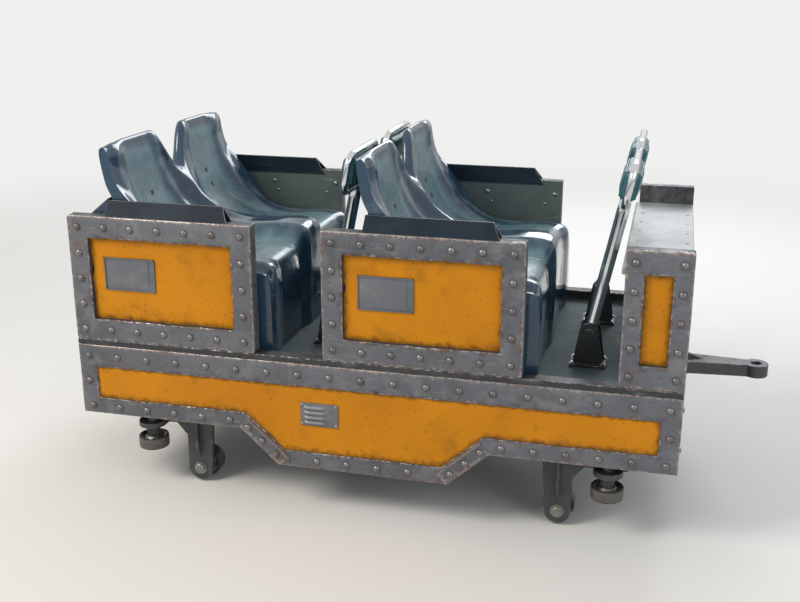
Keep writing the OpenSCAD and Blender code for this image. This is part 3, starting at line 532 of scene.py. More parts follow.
def sidePanel(form, x0, x1, side, back, stile, seed):
    along = panel["wideSteps"] if x1 - x0 > panel["wideFrom"] else panel["narrowSteps"]
    steps = [panel["upSteps"], along, panel["upSteps"], along]
    outer = rectangle(x0, x1, car["panelLow"], car["panelHigh"])
    inner = rectangle(x0 + stile, x1 - stile, panel["windowLow"], panel["windowHigh"])
    outer = roundedOutline(outer, panel["cornerRadius"], 4, steps)
    inner = roundedOutline(inner, panel["windowRadius"], 4, steps)
    outer = uneven(outer, panel["cutBy"], panel["cutSize"], seed)
    inner = uneven(inner, panel["tornBy"], panel["tornSize"], seed + 20)
    face = car["halfWidth"]
    depths = (face, face - panel["recess"] - panel["yellowPlate"], back)
    framedPlate(form, outer, inner, side, depths, panel, seed)


for end in ends:
    for name, side in sides.items():
        form = newForm()
        low, high = rowBox[end]
        sidePanel(form, low.x, high.x, side, car["liningY"], panel["stile"], ends[end] * 2 + side)
        addPiece("row_panel." + end + "." + name, form, "frame_steel", ["panel_" + end + "_" + name], 50)
form = newForm()
for side in sides.values():
    sidePanel(form, car["noseX"], car["halfLength"], side, car["innerY"], panel["noseStile"], 7 + side)
addPiece("nose_panels.plates", form, "frame_steel", ["nose_panels"], 50)

# yellow plates in the recesses, with a bite out of the rear edge beside each row
yellow = {"over": 0.003, "under": 0.002, "thinner": 0.0005, "wideCells": (56, 32), "narrowCells": (12, 30),
          "biteDepth": 0.008, "biteHalf": 0.022, "biteUp": 0.028}
form = newForm()
recesses = [(low.x, high.x, panel["stile"]) for low, high in rowBox.values()]
recesses.append((car["noseX"], car["halfLength"], panel["noseStile"]))
for side in sides.values():
    for number, (x0, x1, stile) in enumerate(recesses):
        low = panel["windowLow"] - yellow["over"]
        high = panel["windowHigh"] + yellow["over"]
        wide = x1 - x0 > panel["wideFrom"]
        bite = {"depth": yellow["biteDepth"], "half": yellow["biteHalf"],
                "z": (low + high) / 2 + yellow["biteUp"]} if wide else None
        span = (x0 + stile - yellow["under"], x1 - stile + yellow["under"])
        dentedPlate(form, span, lambda x: low, high, car["halfWidth"] - panel["recess"],
                    panel["yellowPlate"] - yellow["thinner"], side,
                    yellow["wideCells" if wide else "narrowCells"], number * 3 + side, bite)
addPiece("side_inlays.enamel", form, "yellow_paint", ["side_inlays"], 60)

# skirt: one long frame a side, deeper in the middle, with a recess for its yellow band
skirt = {"deepHalf": 0.275, "slopeRun": 0.125, "drop": 0.113, "topStrip": 0.075, "lowStrip": 0.055,
         "endStrip": 0.060, "recess": 0.008, "wall": 0.018, "edge": 0.0026, "dent": 0.0014,
         "lipDepth": 0.027, "lipWall": 0.008, "endPlate": 0.008, "corner": 0.004, "cutBy": 0.0009,
         "cutSize": 0.12, "tornBy": 0.0016, "tornSize": 0.07, "into": 0.001}
skirt["bottom"] = car["skirtDeep"] + skirt["drop"]
band = {"thickness": 0.003, "under": 0.002, "cells": (150, 20), "face": car["halfWidth"] - 0.0045}


def skirtCorners(endIn, topIn, lowIn):
    # anticlockwise from the lower rear corner
    shift = lowIn * math.tan(math.atan2(skirt["drop"], skirt["slopeRun"]) / 2)
    xEnd = car["halfLength"] - endIn
    xSlope = skirt["deepHalf"] + skirt["slopeRun"] - shift
    xDeep = skirt["deepHalf"] - shift
    low = skirt["bottom"] + lowIn
    deep = low - skirt["drop"]
    top = car["skirtTop"] - topIn
    return [(-xEnd, low), (-xSlope, low), (-xDeep, deep), (xDeep, deep), (xSlope, low), (xEnd, low),
            (xEnd, top), (-xEnd, top)]


def bandCorners():
    return skirtCorners(skirt["endStrip"], skirt["topStrip"], skirt["lowStrip"])


def bandLow(x):
    # lower edge of the yellow band at x
    corners = bandCorners()
    (slopeX, low), (deepX, deep) = corners[4], corners[3]
    share = min(1.0, max(0.0, (abs(x) - deepX) / (slopeX - deepX)))
    return deep + (low - deep) * share


form = newForm()
skirtSteps = [18, 8, 18, 8, 18, 8, 60, 8]    # points along each edge of the outline
for side in sides.values():
    outer = roundedOutline(skirtCorners(0, 0, 0), skirt["corner"], 3, skirtSteps)
    inner = roundedOutline(bandCorners(), skirt["corner"], 3, skirtSteps)
    outer = uneven(outer, skirt["cutBy"], skirt["cutSize"], side)
    inner = uneven(inner, skirt["tornBy"], skirt["tornSize"], side + 5)
    face = car["halfWidth"]
    framedPlate(form, outer, inner, side, (face, face - skirt["recess"], face - skirt["wall"]), skirt,
                side + 30)
    # the lip folded inwards along the lower edge
    y0 = face - skirt["wall"] - skirt["lipDepth"]
    y1 = face - skirt["wall"] + skirt["into"]
    outerLow = skirtCorners(skirt["endPlate"], 0, 0)[:6]
    innerLow = skirtCorners(skirt["endPlate"], 0, skirt["lipWall"])[:6]
    rings = []
    for a, b in zip(outerLow, innerLow):
        section = ((a, y0), (b, y0), (b, y1), (a, y1))
        rings.append([form.verts.new((x, side * y, z)) for (x, z), y in section])
    joinRings(form, rings, True)
addPiece("skirt_frames.plates", form, "frame_steel", ["skirt_frames"], 50)

form = newForm()
for side in sides.values():
    corners = bandCorners()
    dentedPlate(form, (corners[0][0] - band["under"], corners[5][0] + band["under"]),
                lambda x: bandLow(x) - band["under"], car["skirtTop"] - skirt["topStrip"] + band["under"],
                band["face"], band["thickness"], side, band["cells"], 40 + side)
addPiece("skirt_bands.enamel", form, "yellow_paint", ["skirt_bands"], 60)

# straps over the skirt's sloping edges, bright along their upper side and bent at their lower end
strap = {"width": 0.046, "thickness": 0.004, "over": 0.012, "shift": 0.004, "sink": -0.002, "rim": 0.005,
         "crumple": 0.005, "crumpleReach": 0.16, "foldsAlong": 40, "foldsAcross": 0.9, "sag": 0.8,
         "thinner": 0.002, "thinEnds": 0.03, "steps": 32, "rivetsAt": (0.12, 0.46, 0.80),
         "rivetsAcross": 0.42}


def slopingStrap(form, side, end):
    # returns the places of its three rivets
    corners = skirtCorners(0, 0, 0)
    top, foot = Vector(corners[4]), Vector(corners[3])
    along = (foot - top).normalized()
    across = Vector((along.y, -along.x))    # towards the yellow band
    if across.y < 0:
        across = -across
    length = (foot - top).length + strap["over"]
    start = top - along * strap["over"] * 0.5 + across * strap["shift"]
    width, thickness, rim = (strap[key] for key in ("width", "thickness", "rim"))
    # distance across, height over the face, wear (the upper rim's is bared metal and a painted highlight)
    section = [(0.0, strap["sink"], 0.2), (0.0, thickness - 0.001, 0.7), (0.002, thickness, 0.8),
               (width - 0.010, thickness, 0.1), (width - 0.004, thickness + rim * 0.7, 1.0),
               (width - 0.001, thickness + rim, 1.0), (width, thickness + rim * 0.4, 1.0),
               (width, strap["sink"], 0.3)]
    rings = []
    for share in (i / strap["steps"] for i in range(strap["steps"] + 1)):
        bent = ramp(share, 1 - strap["crumpleReach"], 1)
        ring = []
        for k, (reach, up, worn) in enumerate(section):
            spot = start + along * length * share + across * reach
            at = Vector((share * strap["foldsAlong"], k * strap["foldsAcross"], side + end * 3))
            fold = strap["crumple"] * bent * noise.noise(at)
            height = car["halfWidth"] + up
            if up > 0:
                thin = 1 - ramp(min(share, 1 - share), 0, strap["thinEnds"])
                height += abs(fold) - strap["thinner"] * thin
            ring.append(addVert(form, (end * spot.x, side * height, spot.y + fold * strap["sag"]),
                                wear=max(worn, bent), grime=0.4 * bent))
        rings.append(ring)
    joinRings(form, rings, True)
    middle = width * strap["rivetsAcross"]
    return [start + along * length * share + across * middle for share in strap["rivetsAt"]]


form = newForm()
strapRivets = []
for side in sides.values():
    for end in ends.values():
        for spot in slopingStrap(form, side, end):
            strapRivets.append(((end * spot.x, side * (car["halfWidth"] + strap["thickness"]), spot.y),
                                (0, side, 0)))
addPiece("skirt_straps", form, "frame_steel", (), 45)
print("side panels and skirts made")

# blank number plates: a shallow tray with a card and a keeper strip at its forward end
numberPlate = {"width": 0.172, "height": 0.106, "rim": 0.004, "depth": 0.005, "fromWindow": 0.043,
               "up": 0.018, "keeper": 0.024, "keeperWidth": 0.004, "keeperUp": 0.004, "cardUp": 0.002,
               "sink": 0.002, "edge": 0.0007}


def bevelledBlock(form, xs, ys, zs, edge):
    # block between two values of x, y and z in any order, its edges cut at 45 degrees
    made = bmesh.ops.create_cube(form, size=1.0)["verts"]
    for vert in made:
        for k, (low, high) in enumerate(sorted(span) for span in (xs, ys, zs)):
            vert.co[k] = vert.co[k] * (high - low) + (low + high) / 2
    edges = list(dict.fromkeys(e for vert in made for e in vert.link_edges))
    bmesh.ops.bevel(form, geom=edges, offset=edge, segments=2, affect="EDGES", profile=0.6)


form = newForm()
for side in sides.values():
    for low, high in rowBox.values():
        x0 = low.x + panel["stile"] + numberPlate["fromWindow"]
        x1 = x0 + numberPlate["width"]
        z1 = (car["panelLow"] + car["panelHigh"]) / 2 + numberPlate["up"] + numberPlate["height"] / 2
        z0 = z1 - numberPlate["height"]
        base = car["halfWidth"] - panel["recess"]
        rim, depth = numberPlate["rim"], numberPlate["depth"]
        keeper = x1 - numberPlate["keeper"]
        for xs, zs, up in (
                ((x0, x1), (z0, z1), numberPlate["cardUp"]), ((x0, x1), (z0, z0 + rim), depth),
                ((x0, x1), (z1 - rim, z1), depth), ((x0, x0 + rim), (z0, z1), depth),
                ((x1 - rim, x1), (z0, z1), depth),
                ((keeper, keeper + numberPlate["keeperWidth"]), (z0, z1), numberPlate["keeperUp"])):
            ys = (side * (base - numberPlate["sink"]), side * (base + up))
            bevelledBlock(form, xs, ys, zs, numberPlate["edge"])
addPiece("blank_number_plates", form, "frame_steel", (), 50, materials=[finishes["blank"]])

# small vent plate with four louvres on each yellow band
vent = {"x": -0.135, "z": 0.340, "width": 0.122, "height": 0.076, "depth": 0.004, "louvres": 4,
        "louvreLength": 0.074, "louvreHeight": 0.009, "louvreOut": 0.006, "louvreX": 0.010,
        "louvreZ": 0.013, "louvreSink": 0.001, "louvreSteps": 13, "blunt": 6, "sink": 0.002,
        "edge": 0.0014, "screwIn": 0.006}
vent["xs"] = (vent["x"] - vent["width"] / 2, vent["x"] + vent["width"] / 2)
vent["zs"] = (vent["z"] - vent["height"] / 2, vent["z"] + vent["height"] / 2)
form = newForm()
for side in sides.values():
    ys = (side * (band["face"] - vent["sink"]), side * (band["face"] + vent["depth"]))
    bevelledBlock(form, vent["xs"], ys, vent["zs"], vent["edge"])
    for z in evenly(vent["zs"][0] + vent["louvreZ"], vent["zs"][1] - vent["louvreZ"], vent["louvres"]):
        rings = []
        # share of the way out, share of the height
        section = [(0, -0.5), (1, -0.42), (0.8, -0.1), (0.4, 0.3), (0, 0.5)]
        for share in evenly(0, 1, vent["louvreSteps"]):
            full = min(1.0, max(0.0, min(share, 1 - share) * vent["blunt"]))
            x = vent["xs"][0] + vent["louvreX"] + vent["louvreLength"] * share
            y = band["face"] + vent["depth"] - vent["louvreSink"]
            out = vent["louvreOut"] * math.sin(math.pi * full / 2) ** 0.6 + vent["louvreSink"]
            rings.append([form.verts.new((x, side * (y + out * a), z + b * vent["louvreHeight"]))
                          for a, b in section])
        joinRings(form, rings, True)
addPiece("vent_plates", form, "frame_steel", (), 50, materials=[finishes["blank"]])

# sheet metal that keeps the solid's form, with its edges rounded
for node, slot, radius in (
        ("coamings", "coaming_paint", 0.0018), ("side_linings", "lining_paint", 0.0016),
        ("thresholds", "dark_steel", 0.0025), ("floor_pan", "floor_coating", 0.0015),
        ("front_bulkhead", "floor_coating", 0.003), ("front_deck", "deck_paint", 0.0034),
        ("rear_bulkhead", "seat_shell", 0.003), ("end_plates", "rusty_steel", 0.0015),
        ("junction_box", "box_plastic", 0.0028), ("chassis_frame", "chassis_steel", 0.0025),
        ("brake_fin", "bare_steel", 0.0012), ("front_coupler", "chassis_steel", 0.0022),
        ("rear_coupler", "chassis_steel", 0.0022), ("lap_bar_pedestals", "dark_steel", 0.0012)):
    roundedNode(node, slot, radius)
for end in ends:
    roundedNode(end + "_axle", "chassis_steel", 0.0022, end + "_axle")
print("sheet metal and chassis made")

# double bucket seats: the solid's own side views, at a finer pitch
seat = {
    # distance from the row panel's rear end, height above the floor: up the back, over its crown, down
    # into the pan and over the nose
    "valley": [(132, 496), (110, 542), (101, 638), (117, 653), (129, 604), (142, 530), (165, 450),
               (216, 360), (314, 304), (440, 290), (556, 304), (622, 286), (638, 215)],
    "bolster": [(132, 496), (110, 542), (101, 638), (118, 655), (136, 626), (140, 562), (166, 480),
                (218, 398), (316, 356), (440, 346), (560, 354), (640, 336), (655, 250)],
    "flank": [(132, 496), (110, 542), (101, 636), (118, 651), (138, 624), (144, 568), (168, 500),
              (214, 430), (276, 360), (400, 300), (560, 304), (636, 290), (650, 225)],
    "outer": [(132, 490), (112, 536), (98, 626), (112, 646), (128, 626), (135, 585), (152, 528),
              (196, 474), (250, 405), (336, 312), (560, 282), (634, 272), (648, 215)],
    "middle": [(132, 420), (129, 480), (121, 510), (134, 524), (156, 516), (176, 502), (206, 470),
               (250, 416), (336, 366), (440, 345), (560, 356), (640, 340), (655, 250)],
    # where the bolster towards the middle is highest on each of these, as a share of half a seat
    "bolsterShare": [0.5, 0.46, 0.44, 0.44, 0.46, 0.52, 0.62, 0.7, 0.74, 0.76, 0.76, 0.76, 0.76],
    "flankShare": 0.74, "hollowShare": 0.5, "valleyFoot": 636, "bolsterFoot": 650,
    "wall": 0.005, "columns": 112, "steps": 6, "riseRows": 8, "fallRows": 6, "rimRadius": 0.003,
    # dust and painted light from the hollow up the bolsters, none on the lip in front; wear along the
    # crest
    "dustShares": (0.45, 0.95), "lipXs": (0.60, 0.64), "wearReach": 0.16,
    # edges turned by more than this, in radians, and this far above the floor are rounded
    "sharp": 0.9, "rimUp": 0.01,
}
seat["half"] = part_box("seat_row_front")[1].y
seat["hollowY"] = seat["half"] / 2


def smoothLine(points, steps):
    line = []
    for i in range(len(points) - 1):
        a, b = Vector(points[max(i - 1, 0)]), Vector(points[i])
        c, d = Vector(points[i + 1]), Vector(points[min(i + 2, len(points) - 1)])
        for k in range(steps):
            t = k / steps
            line.append(0.5 * (2 * b + (c - a) * t + (2 * a - 5 * b + 4 * c - d) * t * t
                               + (3 * b - a - 3 * c + d) * t * t * t))
    return line + [Vector(points[-1])]


def sideView(name, foot):
    curve = smoothLine(seat[name], seat["steps"])
    first, last = Vector((seat[name][0][0], 0)), Vector((foot, 0))
    rises, falls = seat["riseRows"], seat["fallRows"]
    rise = [first.lerp(curve[0], k / rises) for k in range(rises)]
    fall = [curve[-1].lerp(last, k / falls) for k in range(1, falls + 1)]
    return [point / 1000 for point in rise + curve + fall]


views = {name: sideView(name, seat["valleyFoot" if name == "valley" else "bolsterFoot"])
         for name in ("valley", "bolster", "flank", "middle", "outer")}
bolsterCrest = smoothLine([(share, 0) for share in seat["bolsterShare"]], seat["steps"])
bolsterCrest = ([seat["bolsterShare"][0]] * seat["riseRows"] + [point.x for point in bolsterCrest]
                + [seat["bolsterShare"][-1]] * seat["fallRows"])


def seatCrest(i, y):
    # how far from a seat's middle line its bolster is highest, as a share of half a seat
    return bolsterCrest[i] if abs(y) < seat["hollowY"] else seat["flankShare"]


def seatShare(y):
    return abs(abs(y) - seat["hollowY"]) / seat["hollowY"]


def seatSpot(x0, i, y):
    inner = abs(y) < seat["hollowY"]
    share, crest = seatShare(y), seatCrest(i, y)
    side = views["bolster" if inner else "flank"][i]
    if share < crest:
        start = seat["hollowShare"] * crest
        spot = views["valley"][i].lerp(side, ramp(share, start, crest))
    else:
        spot = side.lerp(views["middle" if inner else "outer"][i], ramp(share, crest, 1))
    return Vector((x0 + spot.x, y, car["floorTop"] + spot.y))


def seatMoulding(name, x0, node):
    form = newForm()
    rows = len(views["valley"])
    ys = evenly(-seat["half"], seat["half"], seat["columns"] + 1)
    spots = [[seatSpot(x0, i, y) for i in range(rows)] for y in ys]
    crown = seat["riseRows"] + 3 * seat["steps"]    # the row of the crown's front
    skin, lining = [], []
    for j, line in enumerate(spots):
        skinLine, liningLine = [], []
        for i, spot in enumerate(line):
            along = line[min(i + 1, rows - 1)] - line[max(i - 1, 0)]
            across = spots[min(j + 1, len(ys) - 1)][i] - spots[max(j - 1, 0)][i]
            normal = along.cross(across).normalized()
            share, crest = seatShare(ys[j]), seatCrest(i, ys[j])
            inFront = ramp(i, crown + 2, crown + 8) * (1 - ramp(spot.x - x0, *seat["lipXs"]))
            # paler in the hollow: dust, and painted light where it faces up to the lamps
            dusty = 1 - ramp(share, seat["dustShares"][0] * crest, seat["dustShares"][1] * crest)
            worn = max(0.0, 1 - abs(share - crest) / seat["wearReach"]) * ramp(i, crown, crown + 4)
            skinLine.append(addVert(form, spot, dust=dusty * inFront, wear=worn))
            inner = spot - normal * seat["wall"]
            if i in (0, rows - 1):
                inner.z = car["floorTop"]
            if j in (0, len(ys) - 1):
                inner.y = ys[j] * (1 - seat["wall"] / seat["half"])
            liningLine.append(form.verts.new(inner))
        skin.append(skinLine)
        lining.append(liningLine)
    last = rows - 1
    for j in range(len(ys) - 1):
        for i in range(last):
            form.faces.new((skin[j][i], skin[j + 1][i], skin[j + 1][i + 1], skin[j][i + 1]))
            form.faces.new((lining[j][i], lining[j][i + 1], lining[j + 1][i + 1], lining[j + 1][i]))
        form.faces.new((skin[j][0], lining[j][0], lining[j + 1][0], skin[j + 1][0]))
        form.faces.new((skin[j][last], skin[j + 1][last], lining[j + 1][last], lining[j][last]))
    form.faces.new(skin[0])
    form.faces.new(skin[-1][::-1])
    form.faces.new(lining[0][::-1])
    form.faces.new(lining[-1])
    form.faces.new((skin[0][0], skin[0][last], lining[0][last], lining[0][0]))
    form.faces.new((skin[-1][0], lining[-1][0], lining[-1][last], skin[-1][last]))
    # round the edge between each flank and the skin, but not along the floor
    rims = []
    for edge in form.edges:
        onFlank = all(abs(abs(vert.co.y) - seat["half"]) < 1e-6 for vert in edge.verts)
        if (onFlank and len(edge.link_faces) == 2 and edge.calc_face_angle(0) > seat["sharp"]
                and edge.verts[0].co.z > car["floorTop"] + seat["rimUp"]):
            rims.append(edge)
    bmesh.ops.bevel(form, geom=rims, offset=seat["rimRadius"], segments=3, affect="EDGES", profile=0.5)
    addPiece(name, form, "seat_shell", [node], 45)


for end in ends:
    seatMoulding("seat_moulding." + end, rowBox[end][0].x, "seat_row_" + end)

# two drain grommets low in each back, each hole filled by a black disc as painted shade
grommet = {"radius": 0.010, "hole": 0.0045, "ups": (0.415, 0.465), "sink": -0.003, "rise": 0.0016,
           "core": 0.0004, "floor": 0.0001}


def ringOnSurface(form, centre, normal, profile, segments=24):
    # a turned ring: profile of (radius, height) about the normal at the centre
    turn = normal.to_track_quat("Z", "Y").to_matrix()
    rings = [[form.verts.new(centre + turn @ spot) for spot in ringSpots(radius, height, segments)]
             for radius, height in profile]
    joinRings(form, rings + rings[:1])


form = newForm()
for end in ends:
    for side in sides.values():
        line = [seatSpot(rowBox[end][0].x, i, side * seat["hollowY"]) for i in range(len(views["valley"]))]
        crown = max(range(len(line)), key=lambda i: line[i].z)
        for up in grommet["ups"]:
            # between the two rows of points that the height lies between
            at = next(i for i in range(crown, len(line) - 1) if line[i + 1].z < car["floorTop"] + up)
            share = (line[at].z - car["floorTop"] - up) / (line[at].z - line[at + 1].z)
            spot = line[at].lerp(line[at + 1], share)
            normal = (line[at + 1] - line[at]).cross(Vector((0, 1, 0))).normalized()
            radius, hole, sink = (grommet[key] for key in ("radius", "hole", "sink"))
            rise, core, low = (grommet[key] for key in ("rise", "core", "floor"))
            ringOnSurface(form, spot, normal, [
                (hole, sink), (radius, sink), (radius, rise - 0.001), (radius - 0.002, rise),
                (hole + 0.001, rise - 0.0004), (hole, rise - 0.0012)])
            # a black disc that fills the hole just under the grommet's rim: painted shade for the hole's
            # depth
            ringOnSurface(form, spot, normal, [
                (core, sink), (hole + 0.001, sink), (hole + 0.001, low), (core, low)])
addPiece("seat_drains", form, "dark_steel", (), 50)
print("seats made")

# lap bars: bent chrome tube with a closed handle, on a hub at the floor bracket
lapBar = {"lean": math.radians(11.5), "tube": 0.019, "hub": 0.026, "hubLength": 0.044, "hubEdge": 0.002,
          "bore": 0.0121, "reach": 0.425, "loopWidth": 0.300, "loopHeight": 0.120, "loopTube": 0.011,
          "corner": 0.040, "collar": 0.004}


def sweptTube(form, path, radius, segments=20):
    # round tube along a closed path
    rings = []
    up = (path[1] - path[-1]).normalized().orthogonal().normalized()
    for i, spot in enumerate(path):
        along = (path[(i + 1) % len(path)] - path[i - 1]).normalized()
        up = (up - along * up.dot(along)).normalized()
        across = along.cross(up)
        rings.append([form.verts.new(spot + (up * math.cos(a) + across * math.sin(a)) * radius)
                      for a in angles(segments)])
    joinRings(form, rings)
    # the last ring meets the first one at the turn where they fit best
    first, last = rings[0], rings[-1]
    shift = min(range(segments), key=lambda s: (first[s].co - last[0].co).length)
    joinRings(form, [last, first[shift:] + first[:shift]])


def pivotPlace(end, side):
    name = "lap_bar_" + end + "_" + side + "_pivot"
    joints = frame["record"]["behaviour"]["joints"]
    return next(joint["pos_m"] for joint in joints if joint["name"] == name)


def handlePath(width, height, base, corner, perCorner=9):
    # rounded rectangle in the YZ plane, anticlockwise seen from ahead
    outline = []
    for cy, cz, start in ((1, 1, 0), (-1, 1, 90), (-1, 0, 180), (1, 0, 270)):
        middle = Vector((0, cy * (width / 2 - corner), base + (height - corner if cz else corner)))
        for k in range(perCorner):
            a = math.radians(start + 90 * k / (perCorner - 1))
            outline.append(middle + Vector((0, math.cos(a), math.sin(a))) * corner)
    return outline


def lapBarForm(place):
    form = newForm()
    bore, hub, edge = (lapBar[key] for key in ("bore", "hub", "hubEdge"))
    tube, collar, reach = (lapBar[key] for key in ("tube", "collar", "reach"))
    half = lapBar["hubLength"] / 2
    ringOnSurface(form, Vector((0, 0, 0)), Vector((0, 1, 0)), [
        (bore, -half), (hub - edge, -half), (hub, -half + edge), (hub, half - edge), (hub - edge, half),
        (bore, half)], segments=40)
    # the post, with a weld collar at its foot and a flared seat under the handle
    sections = [(0.014, tube), (0.026, tube + collar), (0.032, tube + collar), (0.036, tube),
                (0.200, tube), (reach - 0.040, tube), (reach - 0.012, tube - 0.001),
                (reach - 0.001, tube - 0.008)]
    rings = [[form.verts.new(spot) for spot in ringSpots(radius, z, 32)] for z, radius in sections]
    joinRings(form, rings, True)
    loop = handlePath(lapBar["loopWidth"], lapBar["loopHeight"], reach, lapBar["corner"])
    sweptTube(form, loop, lapBar["loopTube"])
    for vert in form.verts:
        vert.co = place @ vert.co
    return form


# pad: foam under a moulded skin, swollen by a cloth simulation from a slightly smaller block
pad = {"depth": 0.056, "height": 0.0964, "width": 0.262, "round": 0.018, "smaller": 0.006, "voxel": 0.005,
       "pressure": 4.0, "frames": 20, "cap": 0.005, "piping": 0.0022, "pipingIn": 0.013,
       "pipingCorner": 0.014, "rayFrom": 0.2}


def swollenPad():
    form = bmesh.new()
    made = bmesh.ops.create_cube(form, size=1.0)["verts"]
    for vert in made:
        vert.co.x *= pad["depth"] - pad["smaller"]
        vert.co.y *= pad["width"] - pad["smaller"]
        vert.co.z *= pad["height"] - pad["smaller"]
    bmesh.ops.bevel(form, geom=list(form.edges), offset=pad["round"], segments=5, affect="EDGES",
                    profile=0.5)
    mesh = bpy.data.meshes.new("padBlock")
    form.to_mesh(mesh)
    form.free()
    block = linked("padBlock", mesh)
    grid = block.modifiers.new("grid", "REMESH")
    grid.mode = "VOXEL"
    grid.voxel_size = pad["voxel"]
    settled(block)
    start = [vert.co.copy() for vert in block.data.vertices]
    cloth = block.modifiers.new("skin", "CLOTH")
    cloth.settings.use_pressure = True
    cloth.settings.uniform_pressure_force = pad["pressure"]
    cloth.settings.effector_weights.gravity = 0.0
    for number in range(1, pad["frames"] + 1):
        scene.frame_set(number)
    settled(block)
    scene.frame_set(1)
    for vert, home in zip(block.data.vertices, start):
        moved = vert.co - home
        if moved.length > pad["cap"]:
            vert.co = home + moved.normalized() * pad["cap"]
    finer = block.modifiers.new("finer", "SUBSURF")
    finer.levels = finer.render_levels = 1
    settled(block)
    mesh = block.data
    bpy.data.objects.remove(block)
    return mesh


padMesh = swollenPad()
padMiddle = Vector((0, 0, lapBar["reach"] + lapBar["loopHeight"] / 2))


def padPiping(form, mesh, place):
    # piping round the front and back faces, laid on the swollen skin
    tree = BVHTree.FromPolygons([vert.co for vert in mesh.vertices], [p.vertices for p in mesh.polygons])
    width, height = pad["width"] - 2 * pad["pipingIn"], pad["height"] - 2 * pad["pipingIn"]
    for face in (-1, 1):
        path = []
        for spot in handlePath(width, height, -height / 2, pad["pipingCorner"], perCorner=12):
            start = Vector((face * pad["rayFrom"], spot.y, spot.z))
            hit = tree.ray_cast(start, Vector((-face, 0, 0)))[0]
            path.append(hit if hit is not None else Vector((face * pad["depth"] / 2, spot.y, spot.z)))
        before = len(form.verts)
        sweptTube(form, path, pad["piping"], segments=8)
        form.verts.ensure_lookup_table()
        for vert in form.verts[before:]:
            vert.co = place @ (vert.co + padMiddle)


for end in ends:
    for side in sides:
        pivot = Vector(pivotPlace(end, side))
        place = Matrix.Translation(pivot) @ Matrix.Rotation(lapBar["lean"], 4, "Y")
        bar = "lap_bar_" + end + "_" + side
        node = "lap_pad_" + end + "_" + side
        addPiece(bar + ".tube", lapBarForm(place), "chrome", [bar], 45, bar)
        mesh = padMesh.copy()
        mesh.transform(place @ Matrix.Translation(padMiddle))
        mesh.materials.clear()
        form = newForm()
        form.from_mesh(mesh)
        padPiping(form, padMesh, place)
        skin = addPiece(node + ".skin", form, "pad_vinyl", [node], 80, bar)
print("lap bars and pads made")

# wheels: polyurethane tread on a turned steel hub; tread is the share of the radius that is tread, web
# the half thickness of the web as a share of the width, bolt sizes are shares of the radius
wheel = {
    "running": {"half": 0.030, "hubHalf": 0.038, "hubRadius": 0.034, "bore": 0.02005, "turned": 90,
                "bolts": 6},
    "guide": {"half": 0.020, "hubHalf": 0.020, "hubRadius": 0.028, "bore": 0.01405, "turned": 0,
              "bolts": 5},
    "upstop": {"half": 0.025, "hubHalf": 0.035, "hubRadius": 0.028, "bore": 0.01405, "turned": 90,
               "bolts": 5},
    "tread": 0.16, "web": 0.28, "boltRadius": 0.062, "boltHeight": 0.04, "shoulder": 0.006,
    "shoulderShare": 0.25, "segments": 72, "boltSeed": 13,
}


def turned(form, halfProfile, place, materialIndex, wornRadius=None):
    # half a profile of (radius, distance along Z), mirrored, turned about Z and put in its place
    rings = []
    for radius, along in halfProfile + [(r, -a) for r, a in reversed(halfProfile)]:
        worn = 1.0 if wornRadius and radius > wornRadius else 0.0
        spots = ringSpots(radius, along, wheel["segments"])
        rings.append([addVert(form, place @ spot, wear=worn) for spot in spots])
    for face in joinRings(form, rings + rings[:1]):
        face.material_index = materialIndex


def wheelForm(kind, place, radius):
    form = newForm()
    half, bore, hub, hubHalf = (kind[key] for key in ("half", "bore", "hubRadius", "hubHalf"))
    tread = radius * (1 - wheel["tread"])
    web = 2 * half * wheel["web"]
    shoulder = min(wheel["shoulder"], half * wheel["shoulderShare"])
    tyre = [(tread - 0.001, half - 0.001), (tread + 0.002, half), (radius - shoulder, half),
            (radius - shoulder * 0.3, half - shoulder * 0.3), (radius - 0.0006, half - shoulder),
            (radius, half * 0.45)]
    turned(form, tyre, place, 1, radius - 0.001)
    core = [(bore, hubHalf), (bore + 0.004, hubHalf), (bore + 0.005, hubHalf - 0.001),
            (hub - 0.003, hubHalf - 0.001), (hub, hubHalf - 0.004), (hub, web + 0.003), (hub + 0.003, web),
            (tread - 0.007, web), (tread - 0.003, web + 0.003), (tread - 0.003, half - 0.002),
            (tread - 0.001, half - 0.001)]
    turned(form, core, place, 0)
    return form


